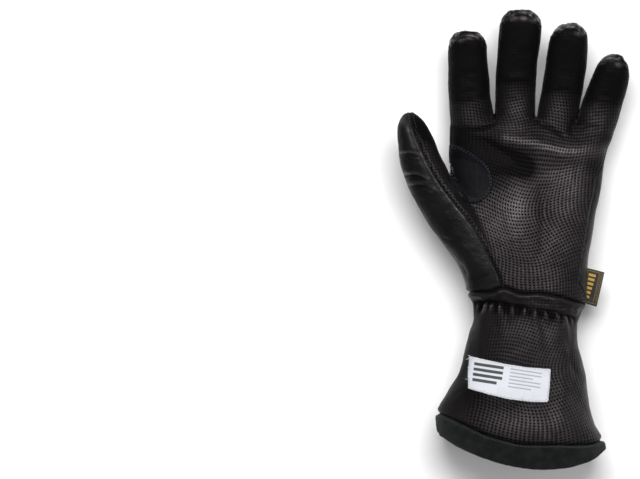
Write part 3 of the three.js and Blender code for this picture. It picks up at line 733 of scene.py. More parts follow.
keep = S_KIND != SEAM_KINDS.index("mouth")
S_POINT, S_KIND, S_ARC = S_POINT[keep], S_KIND[keep], S_ARC[keep]


def nearest(points, cloud):
    tree = KDTree(len(cloud))
    for k, v in enumerate(cloud):
        tree.insert(v, k)
    tree.balance()
    idx, dist = np.empty(len(points), int), np.empty(len(points))
    find = tree.find
    for k, v in enumerate(points.tolist()):
        _, idx[k], dist[k] = find(v)
    return idx, dist


near, SEAM_D = nearest(P, S_POINT)
KIND, ARC = S_KIND[near], S_ARC[near]
is_kind = lambda n: KIND == SEAM_KINDS.index(n)


# ------------------------------------------------------------------ relief
def hashed(i, j, k, seed):
    h = (i * 374761393 + j * 668265263 + k * 2147483647 + seed * 1274126177) & 0xFFFFFFFF
    h = ((h ^ (h >> 13)) * 1274126177) & 0xFFFFFFFF
    return ((h ^ (h >> 16)) & 0xFFFF) / 65535.0 * 2 - 1


def noise(p, size, seed=0):
    """Smooth value noise from -1 to 1, with lumps of about this size."""
    q = np.asarray(p, float) / size
    i = np.floor(q).astype(np.int64)
    t = q - i
    t = t * t * (3 - 2 * t)
    out = 0
    for a in (0, 1):
        for b in (0, 1):
            for c in (0, 1):
                w = (t[:, 0] if a else 1 - t[:, 0]) * (t[:, 1] if b else 1 - t[:, 1]) * (t[:, 2] if c else 1 - t[:, 2])
                out = out + w * hashed(i[:, 0] + a, i[:, 1] + b, i[:, 2] + c, seed)
    return out


def noise1(s, size, seed=0):
    z = np.zeros_like(s)
    return noise(np.stack([s, z, z], 1), size, seed)


PN = A[:, :3] / np.maximum(np.linalg.norm(A[:, :3], axis=1), 1e-6)[:, None]
X, Y, Z = P.T
FRONT = step(0.0, 0.45, PN[:, 2])
BACK = step(0.0, 0.45, -PN[:, 2])
PXX = X / SCALE + 514.0 + CENTRE[0] / SCALE     # picture pixel of each point
PYY = 239.5 - (Y + CENTRE[1]) / SCALE


def fold(points, width, height, ends=0.15, mask=None):
    """A ridge (height above 0) or valley along a line given in picture pixels."""
    pts = cardinal(points, 40)
    d, along = line_distance(PXX, PYY, pts)
    e = np.clip(np.minimum(along, 1 - along) / max(ends, 1e-6), 0, 1)
    e = e * e * (3 - 2 * e)
    out = height * bump(d, width) * e * (FRONT if mask is None else mask)
    if width > 4:
        BROAD[:] += out
    return out


def dome(px, py, rx, ry, height, turn=0.0, mask=None):
    c, s_ = math.cos(turn), math.sin(turn)
    a = ((PXX - px) * c + (PYY - py) * s_) / rx
    b = (-(PXX - px) * s_ + (PYY - py) * c) / ry
    out = height * np.exp(-(a * a + b * b)) * (FRONT if mask is None else mask)
    BROAD[:] += out
    return out


BROAD = np.zeros(len(P))    # the slow part of the relief, which gets no painted crease shade
R = np.zeros(len(P))
# palm: valley over the web patch, knuckle pads, belly and thenar
R += fold([(420, 122), (446, 134), (468, 143), (490, 154), (512, 165), (545, 176)], 9.5, -4.2, 0.42)
R += fold([(476, 148), (490, 155), (505, 164), (516, 170)], 3.0, -0.7, 0.4)
R += fold([(478, 135), (500, 138), (529, 143.4), (556, 150.5), (575, 151.5), (604, 148.5)], 8.0, 2.6, 0.25)
R += fold([(530, 166), (560, 172), (600, 170)], 8.0, -1.1, 0.4)
R += fold([(494.3, 104), (494.8, 112), (495.5, 120)], 1.3, -2.0, 0.2)
R += fold([(536.4, 106), (534.8, 113), (533.6, 120)], 1.3, -2.0, 0.2)
R += fold([(582.5, 103), (577, 115), (572, 126), (568.8, 137)], 2.5, -1.5, 0.25)
R += fold([(457, 127.5), (470, 129.5), (481, 128.5), (494, 124)], 2.1, -1.7, 0.25)
R += fold([(536, 120), (548, 126.5), (560, 134), (568, 139)], 2.3, -1.6, 0.25)
R += fold([(577, 128), (590, 127), (604, 130)], 2.4, -0.7, 0.3)
R += fold([(497, 118), (493, 124), (484, 128)], 1.7, -1.2, 0.3)
R += dome(518, 212, 17, 30, 2.6, 0.20)
R += dome(568, 205, 20, 40, 1.3)
R += dome(468, 228, 13, 34, 0.9, 0.5)
R += fold([(598, 165), (595, 200), (586, 240), (576, 285)], 6, 0.6, 0.3)
R += fold([(536, 172), (543, 200), (543, 235), (534, 275)], 6, -1.2, 0.3)
R += fold([(494, 205), (502, 230), (508, 255), (520, 280)], 6, -0.6, 0.3)
R += fold([(515, 262), (535, 270), (560, 268), (585, 262)], 7, -0.4, 0.3)
# fingers
R += fold([(449, 103), (462, 102), (478, 101)], 2.0, -1.0, 0.25)
R += fold([(450, 93), (466, 93), (484, 90)], 2.6, -0.35, 0.3)
R += fold([(456, 76), (470, 73), (486, 74)], 6.0, -0.6, 0.3)
R += fold([(500, 82), (516, 81), (534, 82)], 1.8, -0.9, 0.2)
R += fold([(500, 72), (517, 70), (535, 71)], 6.0, -0.5, 0.3)
R += fold([(545, 92), (562, 90), (580, 92)], 2.4, -0.5, 0.3)
R += fold([(590, 98), (606, 96), (622, 101)], 2.4, -0.45, 0.3)
# thumb: transverse creases, ridges between them
for line, w, h in (([(398, 155), (408, 155.5), (419, 158)], 1.5, -1.1), ([(398, 158), (409, 158), (421, 161)], 1.5, 0.7),
                   ([(401, 177), (414, 177), (427, 182)], 1.6, -1.1), ([(402, 180.5), (416, 180.5), (430, 186)], 1.6, 0.7),
                   ([(406, 188), (420, 187), (433, 192)], 1.5, -0.9), ([(408, 191.5), (421, 190), (435, 196)], 1.6, 0.5),
                   ([(399, 167), (409, 168), (422, 171)], 2.2, -0.35), ([(412, 203), (426, 202), (441, 207)], 2.4, -0.5),
                   ([(438, 238), (450, 241), (462, 243)], 2.4, -0.5), ([(455, 262), (462, 268), (468, 280)], 2.5, -0.7),
                   ([(425, 235), (440, 250), (452, 272)], 3.5, -0.5), ([(441, 172), (448, 178), (452, 188)], 1.6, -0.7)):
    R += fold(line, w, h * 1.35, 0.3)
# wrist: a roll under the seam, the elastic's line and the shirring that hangs from it
wrist_y = across(WRIST_SEAM, X)
below = wrist_y - Y
on_cuff = step(-0.5, 1.0, below) * FRONT
R += on_cuff * (0.7 * bump(below - 3.0, 2.4) - 0.8 * bump(below - 9.0, 3.6))
# (picture x and y of the top of each pleat)
PLEATS = np.array([(476.5, 304.5), (484, 304.5), (491.5, 304.5), (500.5, 305), (511, 307), (523, 309), (534.5, 310.5), (545, 312.7),
                   (555.5, 314.2), (564, 316.5), (571.5, 319)], float)
TUFTS = np.zeros(len(P))
for k, (px, py) in enumerate(PLEATS):
    down = PYY - py
    centre = px + (px - 520) * 0.0035 * np.clip(down, 0, 60) + 0.8 * np.sin(down * 0.11 + k * 1.7)
    half = 1.5 + 0.26 * np.clip(down, 0, 11) + 0.03 * np.clip(down - 11, 0, 50)
    tall = step(-2.5, 1.5, down) * np.exp(-np.clip(down - 2, 0, 99) / (10 + 4 * math.sin(k * 2.3))) * (0.45 if k in (0, 10) else 1.0)
    R += FRONT * tall * 3.2 * bump(PXX - centre, half)
    TUFTS += FRONT * tall * bump(PXX - centre, half * 0.8)
pleat_top = np.interp(PXX, PLEATS[:, 0], PLEATS[:, 1])
gathered = step(466, 474, PXX) * (1 - step(572, 580, PXX))
R += FRONT * gathered * (-1.3 * bump(PYY - pleat_top + 1.5, 2.0) - 0.9 * step(-1, 3, PYY - pleat_top) * (1 - step(5, 30, PYY - pleat_top)))
R += 0.60 * noise(np.stack([X, Y * 0.25, Z * 0], 1), 6.0, 7) * step(8, 12, below) * (1 - step(20, 60, below)) * FRONT
R += on_cuff * (0.70 * noise(np.stack([X + 0.4 * Y, Y * 0.3, Z], 1), 5.0, 8) + 0.45 * noise(P, 3.4, 9)) * step(1.5, 3.5, below) * (1 - step(9, 14, below))
# cuff: long soft folds falling from the wrist to the hem
R += 0.9 * noise(np.stack([X * 1.0, Y * 0.22, Z * 0.6], 1), 17.0, 11) * step(15, 45, below) * (1 - 0.6 * step(70, 100, below))
R += fold([(560, 325), (568, 345), (573, 365), (578, 385)], 3.6, -0.6, 0.4)
R += fold([(478, 330), (470, 355), (458, 385), (448, 405)], 6.0, -0.8, 0.3)
R += fold([(566, 345), (562, 385), (560, 430)], 9.0, 1.0, 0.3)
R += fold([(530, 335), (520, 350), (500, 356)], 6.0, -0.7, 0.3)
R += fold([(470, 398), (500, 412), (530, 405)], 8.0, -1.0, 0.3)
# hem band: thicker, with a soft roll
in_hem = step(-0.3, 2.2, -(Y - across(HEM_SEAM, X)))
hem_down = across(HEM_SEAM, X) - Y
R += in_hem * (0.4 + 0.5 * noise(np.stack([X, Y * 0.4, Z], 1), 20.0, 13))
R += in_hem * 1.1 * np.sin(np.pi * np.clip(hem_down / 24.0, 0, 1)) ** 0.7
R += in_hem * 0.45 * noise(np.stack([X * 0.8, Y, Z * 0.8], 1), 6.5, 14) * step(2, 6, hem_down)
# the back of the wrist: rows of gathers in the knit
back_below = across(BACK_EDGE, X) - Y
gather = np.abs(np.sin(np.pi * X / 7.4 + 0.6 * np.sin(X * 0.13)))
R += BACK * ((bump(back_below - 20, 4.6) + bump(back_below - 37, 4.6)) * (2.0 * gather - 1.5) + 0.7 * bump(back_below - 28.5, 4.0)) * step(6, 14, back_below)
# slow lumps and fine unevenness everywhere
R += 0.45 * noise(P, 26.0, 21) + 0.26 * noise(P, 9.0, 22) + 0.12 * noise(P, 3.6, 23)
# stretch wrinkles across the fingers and the thumb
R += 0.16 * noise(np.stack([X * 0.35, Y, Z * 0.35], 1), 3.4, 24) * step(0.3, 0.9, PN[:, 2]) * (PYY < 300)
# seams: depth, half width, shoulder height, shoulder place, pucker height, pucker spacing
PROFILE = {
    "plain": (0.7, 0.8, 0.15, 1.8, 0.08, 3.2), "thumb": (1.5, 0.9, 0.50, 2.0, 0.16, 3.0),
    "side": (0.7, 0.7, 0.15, 1.6, 0.08, 3.4), "cap": (0.6, 0.7, 0.22, 1.6, 0.22, 2.7),
    "wrist": (1.8, 1.1, 0.50, 2.4, 0.30, 9.0), "hem": (1.8, 1.2, 0.45, 3.0, 0.30, 14.0),
    "cuffside": (0.8, 0.9, 0.25, 2.0, 0.12, 3.6), "mouth": (0, 1, 0, 1, 0, 5),
}
thumb_end = AXES["thumb"][1][-1]
for k, (depth, half, shoulder, place, pucker, pitch) in PROFILE.items():
    m = is_kind(k)
    d = SEAM_D[m]
    weak = 1 - 0.8 * step(thumb_end - 14, thumb_end - 4, col("t_thumb")[m]) if k == "thumb" else 1.0
    if k in ("cap", "side"):
        weak = 0.25 + 0.75 * step(0.25, 0.75, np.abs(PN[m, 2]))
    R[m] += weak * (-depth * np.exp(-(d / half) ** 1.5) + shoulder * bump(d - place, place * 0.6)
                    + pucker * noise1(ARC[m], pitch * 0.5, 31) * np.exp(-d / (place * 1.4)))
# the finger tips pucker along their seams
m = is_kind("cap")
TOP_ = step(0.35, 0.8, PN[:, 2])
R[m] += TOP_[m] * 0.42 * np.cos(2 * np.pi * ARC[m] / 2.4 + 1.8 * noise1(ARC[m], 6.0, 33)) * np.exp(-SEAM_D[m] / 2.4) * (
    0.5 + 0.6 * noise1(ARC[m], 4.5, 34))
R[m] += TOP_[m] * 0.55 * np.clip(noise(P[m], 2.4, 35), 0, 1) * np.exp(-SEAM_D[m] / 2.6)
on_caps = np.zeros(len(P))
for name in FOUR:
    on_caps[np.unique(PIECES[name + "_tip_cap"])] = 1
R += on_caps * (0.16 + 0.22 * TOP_) * (noise(P, 2.1, 36) + 0.8 * noise(P, 1.3, 37) + 0.9 * (1 - 3 * np.abs(noise(P, 3.6, 38))))
# what is sewn on lies on an even ground
plan = lambda q: -polygon_distance(X, Y, shifted(q))
on_label = step(-2.0, 1.0, plan(LABEL_LINE)) * (PN[:, 2] > 0)
on_back_label = step(-2.0, 1.0, plan(BACK_LABEL)) * (PN[:, 2] < 0)
on_badge = step(-2.0, 1.0, plan(BADGE)) * (PN[:, 2] < 0) * (Z < 25)
on_guard = step(-0.5, 2.5, guard_field())
calm = 0.45 * noise(P, 30.0, 51)
for w, level in ((on_label, 0.0), (on_back_label, 0.0), (on_badge, 0.0), (on_guard, -0.3)):
    R = R * (1 - w) + (calm * (level == 0) + level) * w
    BROAD = BROAD * (1 - w)
# painted shade and highlight: the fine relief's depth below the slow relief, read in the shaders as painted shade in
# the creases and painted highlight on the ridges
SHADE_RELIEF = np.clip(BROAD - R, -2, 3)
PD = P + PN * R[:, None]
PD[:, 2] = np.maximum(PD[:, 2], 0.02)

# flat coordinates for the perforations and the weave: the piece is laid flat as well as it can be
def unroll(tris, rounds=260, leave_out=None):
    """Millimetres across and along a piece, found by least squares from its edges."""
    used, t = np.unique(tris, return_inverse=True)
    t = t.reshape(-1, 3)
    e = np.unique(np.sort(np.vstack([t[:, [0, 1]], t[:, [1, 2]], t[:, [2, 0]]]), 1), axis=0)
    p, n = P[used], PN[used]
    if leave_out is not None:
        e = e[~leave_out(p[e[:, 0]], p[e[:, 1]])]
    t1 = np.cross(np.array([0.0, 1.0, 0.0]), n)
    t1 /= np.maximum(np.linalg.norm(t1, axis=1), 0.25)[:, None]
    t2 = np.cross(n, t1)
    d = p[e[:, 1]] - p[e[:, 0]]
    m = len(used)
    a, b = e[:, 0], e[:, 1]
    degree = np.maximum(np.bincount(a, minlength=m) + np.bincount(b, minlength=m), 1)
    laplace = lambda v: degree * v - np.bincount(a, v[b], m) - np.bincount(b, v[a], m)
    out = []
    for f, x in ((t1, p[:, 0].copy()), (t2, p[:, 1].copy())):
        want = (0.5 * (f[a] + f[b]) * d).sum(1)
        r = np.bincount(b, want, m) - np.bincount(a, want, m) - laplace(x)
        z = r / degree
        q = z.copy()
        rz = r @ z
        for _ in range(rounds):
            lq = laplace(q)
            alpha = rz / max(q @ lq, 1e-12)
            x += alpha * q
            r -= alpha * lq
            z = r / degree
            new = r @ z
            q = z + (new / max(rz, 1e-12)) * q
            rz = new
        out.append(x)
    return used, out[0], out[1]


FLAT = {}
hem_gap = lambda a, b: ((a[:, 2] < 34) != (b[:, 2] < 34)) & (a[:, 0] > 40)
for name in PIECES:
    if name.startswith("fourchette") or name in ("index_side", "little_side", "wrist_panel", "thumb_outer"):
        continue
    used, u_, v_ = unroll(PIECES[name], 320 if name == "palm_panel" else 200, hem_gap if name == "hem_band" else None)
    FLAT[name] = (used, u_, v_)
FLAT["guard"] = unroll(GUARD_T, 200)


def swirl(u, v, px, py, radius, turn):
    """Turns the rows round a place, by less and less away from it."""
    cx, cy = to_xy(px, py)
    dx, dy = u - cx, v - cy
    a = turn * np.exp(-(dx * dx + dy * dy) / radius ** 2)
    return cx + dx * np.cos(a) - dy * np.sin(a), cy + dx * np.sin(a) + dy * np.cos(a)


def wander(u, v, p):
    """The leather is stretched over the hand, so its rows wander."""
    for place in ((512, 185, 34, 0.42), (552, 235, 36, -0.38), (500, 262, 26, 0.25), (560, 140, 26, 0.28), (515, 110, 18, -0.25),
                  (540, 340, 32, 0.38), (566, 400, 32, -0.34), (500, 420, 28, 0.3)):
        u, v = swirl(u, v, *place)
    u = u + 1.1 * np.sin(v / 19.0 + 0.4) + 0.6 * noise(p, 26.0, 41)
    v = v + 1.1 * np.sin(u / 18.0 + 0.8) + 0.6 * noise(p, 24.0, 42)
    return u, v


def perf_of(name):
    out = np.stack([X, Y, np.zeros(len(P))], 1)
    if name in FLAT:
        used, u_, v_ = FLAT[name]
        if name in ("palm_panel", "cuff_front"):
            # the rounds settle the coordinates up to a shift, so set them by the palm's middle
            near_ = np.argmin(np.linalg.norm(P[used][:, :2] - np.array(to_xy(530, 230 if name == "palm_panel" else 370)), axis=1) + 0.2 * (PN[used][:, 2] < 0))
            u_ = u_ - u_[near_] + P[used[near_], 0]
            v_ = v_ - v_[near_] + P[used[near_], 1]
            u_, v_ = wander(u_, v_, P[used])
        out[used, 0], out[used, 1] = u_, v_
    return out


# where the holes show: up to the middle joints on the fingers, and between the cuff's smooth sides
joint_line = np.array([98.0, 82.0, 93.0, 105.0])[np.clip(np.round(col("fk")), 0, 3).astype(int)]
MASK_PALM = 1 - 0.80 * step(-4, 7, joint_line - PYY)
u_now = col("u")
right_end = 0.72 + 0.22 * step(330, 368, PYY)
MASK_CUFF = (1 - step(right_end - 0.06, right_end + 0.06, u_now)) * (1 - step(0.58, 0.74, -u_now)) * np.maximum(
    step(8, 13, below), 0.8 * step(512, 532, PXX) * step(1.5, 3.5, below))


# painted light: painted highlights and painted shade over the leather, with some random variation in them; the specular
# level follows this map, and the colour is paler where it is high and darker where it is low
def blob(px, py, rx, ry, turn=0.0):
    return dome(px, py, rx, ry, 1.0, turn, 1.0)


def band(points, width):
    d, _ = line_distance(PXX, PYY, cardinal(points, 40))
    return bump(d, width)


# painted highlights on the palm's lit rises and on the knuckle pad band
PAINTED_LIGHT = 0.05 + 0.70 * blob(516, 210, 16, 27, 0.15) + 0.45 * blob(492, 220, 24, 25) + 0.50 * blob(566, 185, 28, 48)
PAINTED_LIGHT += 0.60 * band([(508, 138), (530, 143), (556, 149.5), (575, 151.5), (602, 150)], 7) + 0.22 * blob(505, 129, 26, 6)
PAINTED_LIGHT += 0.30 * blob(548, 258, 50, 36) + 0.28 * blob(517, 110, 13, 17) + 0.15 * blob(468, 112, 13, 13)
PAINTED_LIGHT += 0.18 * blob(557, 112, 12, 16) + 0.30 * blob(601, 122, 14, 18) + 0.16 * band([(425, 148), (440, 172), (452, 192)], 5)
PAINTED_LIGHT += 0.22 * blob(579, 205, 13, 42) + 0.17 * blob(558, 288, 36, 15) + 0.36 * band([(424, 158), (436, 178), (448, 196), (462, 214)], 5.5)
PAINTED_LIGHT += 0.16 * blob(548, 303, 32, 8) + 0.08 * blob(505, 268, 30, 22)
# painted shade in the valley over the web patch
PAINTED_LIGHT -= 0.85 * band([(425, 126), (446, 137), (468, 146), (490, 155), (510, 163), (524, 168)], 9)
# painted highlights on the thumb's tip, on the ridge beside its seam and on its creases
PAINTED_LIGHT += 0.55 * band([(404, 122), (409, 134), (414, 147)], 2.6) + 0.45 * blob(406, 120, 5, 6)
PAINTED_LIGHT += 0.40 * band([(414, 130), (421, 150), (431, 170), (443, 190), (458, 212), (472, 234)], 2.2)
PAINTED_LIGHT += 0.55 * band([(400, 153.5), (410, 153), (420, 155)], 1.5) + 0.55 * band([(402, 174.5), (414, 174), (428, 179)], 1.5)
PAINTED_LIGHT += 0.40 * band([(407, 185.5), (420, 184), (434, 189)], 1.5) + 0.30 * band([(448, 258), (456, 268), (464, 284)], 3.5)
# painted highlights on the finger tips
for px, py, wide in ((470.5, 37, 6), (460, 40, 4), (524, 12.5, 5), (512, 19, 5), (524, 19, 4), (534, 21, 4), (557, 29, 5), (568, 26, 6), (579, 34, 4), (610, 59, 6),
                     (619, 65, 4), (603, 62, 3)):
    PAINTED_LIGHT += 0.85 * blob(px, py, wide, 2.6)
# painted highlights on the cuff below the wrist
PAINTED_LIGHT += np.where(below > 6, 0.03 + 0.40 * blob(568, 388, 32, 60) + 0.27 * blob(528, 330, 40, 22) + 0.33 * blob(528, 421, 56, 14), 0.0)
# painted highlights on the tops of the shirring tufts, painted shade between them, and a painted highlight on the roll
# under the wrist seam
at_top = step(-5, 1, PYY - pleat_top) * (1 - step(3, 12, PYY - pleat_top)) * gathered * FRONT
PAINTED_LIGHT += 0.75 * TUFTS * at_top - 0.45 * at_top * (1 - np.clip(TUFTS * 1.6, 0, 1)) + 0.12 * bump(below - 4, 4)
# painted shade on the finger fronts above the middle joints
PAINTED_LIGHT -= 0.13 * step(-6, 5, joint_line - PYY) * FRONT
# painted glints on the upward faces of the finger caps
PAINTED_LIGHT += on_caps * step(0.0, 0.3, PN[:, 2]) * (0.10 + 0.95 * np.clip(noise(P, 2.0, 75), 0, 1))
PAINTED_LIGHT += 0.07 * noise(P, 14.0, 71) + 0.09 * noise(P, 5.0, 72) * np.clip(PAINTED_LIGHT * 2, 0, 1)
PAINTED_LIGHT = np.clip(np.where(PN[:, 2] > -0.1, PAINTED_LIGHT, 0.35 + 0.15 * noise(P, 14.0, 73)), 0, 1)
# the holes close up where the leather is folded into the valley
MASK_PALM = MASK_PALM * (1 - 0.8 * band([(425, 126), (446, 137), (468, 146), (490, 155), (508, 162)], 8))

# ------------------------------------------------------------------ closed pieces from the skin
def new_mesh(name, points, faces, attributes=None, smooth=True, sharp=None):
    me = bpy.data.meshes.new(name)
    faces = np.asarray(faces)
    me.vertices.add(len(points))
    me.vertices.foreach_set("co", (np.asarray(points, float) * MM).astype(np.float32).ravel())
    k = faces.shape[1]
    me.loops.add(faces.size)
    me.loops.foreach_set("vertex_index", faces.astype(np.int32).ravel())
    me.polygons.add(len(faces))
    me.polygons.foreach_set("loop_start", np.arange(0, faces.size, k, dtype=np.int32))
    me.polygons.foreach_set("loop_total", np.full(len(faces), k, np.int32))
    me.update(calc_edges=True)
    me.validate()
    for n, v in (attributes or {}).items():
        v = np.asarray(v, np.float32)
        if v.ndim == 1:
            me.attributes.new(n, "FLOAT", "POINT").data.foreach_set("value", v)
        else:
            me.attributes.new(n, "FLOAT_VECTOR", "POINT").data.foreach_set("vector", v.ravel())
    if smooth:
        me.shade_smooth()
    if sharp is not None and len(me.polygons) == len(faces):
        flags = me.attributes.get("sharp_face") or me.attributes.new("sharp_face", "BOOLEAN", "FACE")
        flags.data.foreach_set("value", np.asarray(sharp, bool))
    ob = bpy.data.objects.new(name, me)
    bpy.context.scene.collection.objects.link(ob)
    return ob


def shell(name, tris, outer, inner, attributes, round_rim=0.0):
    """A closed piece from a skin patch: outer and inner hold the two sides of every point."""
    used, t = np.unique(tris, return_inverse=True)
    t = t.reshape(-1, 3)
    n = len(used)
    points = [outer[used], inner[used]]
    faces = [t, t[:, ::-1] + n]
    b = border(t)
    if round_rim:
        # a half-round edge: middle points pushed out of the border
        ids = np.unique(b)
        base = 2 * n
        o, i_ = outer[used][ids], inner[used][ids]
        nxt = dict(b.tolist())
        prv = {v: k for k, v in b.tolist()}
        along = np.array([outer[used][nxt.get(v, v)] - outer[used][prv.get(v, v)] for v in ids])
        out_dir = np.cross(along, o - i_)
        out_dir /= np.maximum(np.linalg.norm(out_dir, axis=1), 1e-9)[:, None]
        rows = []
        for k in (0.2, 0.5, 0.8):
            r = round_rim * math.sin(math.pi * k) ** 0.7
            rows.append(o * (1 - k) + i_ * k + out_dir * r)
        maps = []
        for k, row in enumerate(rows):
            m = np.full(n, -1)
            m[ids] = base + k * len(ids) + np.arange(len(ids))
            maps.append(m)
            points.append(row)
        chain = [np.arange(n)] + maps + [np.arange(n) + n]
        for u_, v_ in zip(chain, chain[1:]):
            faces += [np.stack([u_[b[:, 1]], u_[b[:, 0]], v_[b[:, 0]]], 1), np.stack([u_[b[:, 1]], v_[b[:, 0]], v_[b[:, 1]]], 1)]
        att = {k: np.concatenate([v[used], v[used]] + [v[used][ids]] * 3) for k, v in attributes.items()}
    else:
        faces += [np.stack([b[:, 1], b[:, 0], b[:, 0] + n], 1), np.stack([b[:, 1], b[:, 0] + n, b[:, 1] + n], 1)]
        att = {k: np.concatenate([v[used], v[used]]) for k, v in attributes.items()}
    sharp = None
    if not round_rim:
        sharp = np.zeros(2 * len(t) + 2 * len(b), bool)
        sharp[2 * len(t):] = True
    return new_mesh(name, np.vstack(points), np.vstack(faces), att, sharp=sharp)


WALL = {"hem_band": 3.2, "back_panel": 2.0, "cuff_back": 2.0, "palm_panel": 1.7}
INSIDE = {k: P - PN * WALL.get(k, 1.7) for k in PIECES}
ATT = {"perf": perf_of(""), "shade_relief": SHADE_RELIEF, "painted_light": PAINTED_LIGHT}
OB = {}
for name, t in PIECES.items():
    att = dict(ATT, perf=perf_of(name), mask=MASK_PALM if name == "palm_panel" else MASK_CUFF if name == "cuff_front" else np.ones(len(P)))
    OB[name] = shell("glove_" + name, t, PD, INSIDE[name], att, round_rim=1.5 if name == "hem_band" else 0.0)
    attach(OB[name], "root")
    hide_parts(name)

# ------------------------------------------------------------------ materials
class Nodes:
    """Short names for building a node tree."""

    def __init__(self, name):
        self.mat = bpy.data.materials.new(name)
        self.mat.use_nodes = True
        self.t = self.mat.node_tree
        self.bsdf = self.t.nodes["Principled BSDF"]

    def node(self, kind, **settings):
        n = self.t.nodes.new(kind)
        for k, v in settings.items():
            setattr(n, k, v)
        return n

    def link(self, a, b):
        self.t.links.new(a, b)

    def feed(self, node, key, value):
        if isinstance(value, bpy.types.NodeSocket):
            self.link(value, node.inputs[key])
        else:
            node.inputs[key].default_value = value

    def math(self, op, a, b=0.0, c=0.0, clamp=False):
        n = self.node("ShaderNodeMath", operation=op, use_clamp=clamp)
        for k, v in enumerate((a, b, c)):
            self.feed(n, k, v)
        return n.outputs[0]

    def vec(self, op, a, b=(0, 0, 0)):
        n = self.node("ShaderNodeVectorMath", operation=op)
        self.feed(n, 0, a)
        if op != "LENGTH" and op != "FRACTION":
            self.feed(n, 1, b)
        return n.outputs["Value" if op in ("LENGTH", "DOT_PRODUCT") else "Vector"]

    def ramp(self, value, a, b, lo=0.0, hi=1.0, kind="SMOOTHSTEP"):
        n = self.node("ShaderNodeMapRange", interpolation_type=kind)
        for k, v in enumerate((value, a, b, lo, hi)):
            self.feed(n, k, v)
        return n.outputs["Result"]

    def attr(self, name, out="Fac"):
        return self.node("ShaderNodeAttribute", attribute_name=name).outputs[out]

    def mix(self, f, a, b):
        n = self.node("ShaderNodeMix", data_type="RGBA")
        for key, v in ((0, f), (6, a), (7, b)):
            self.feed(n, key, v)
        return n.outputs[2]

    def noise(self, scale, detail=3.0, vector=None, rough=0.5):
        n = self.node("ShaderNodeTexNoise")
        self.feed(n, "Scale", scale)
        self.feed(n, "Detail", detail)
        self.feed(n, "Roughness", rough)
        if vector is not None:
            self.link(vector, n.inputs["Vector"])
        return n.outputs["Fac"]

    def cells(self, scale, vector=None, feature="F1", out="Distance"):
        n = self.node("ShaderNodeTexVoronoi", feature=feature)
        self.feed(n, "Scale", scale)
        if vector is not None:
            self.link(vector, n.inputs["Vector"])
        return n.outputs[out]

    def bump(self, height, distance, strength=1.0, normal=None):
        n = self.node("ShaderNodeBump")
        self.feed(n, "Height", height)
        self.feed(n, "Distance", distance)
        self.feed(n, "Strength", strength)
        if normal is not None:
            self.link(normal, n.inputs["Normal"])
        return n.outputs["Normal"]

    def place(self):
        return self.node("ShaderNodeTexCoord").outputs["Object"]


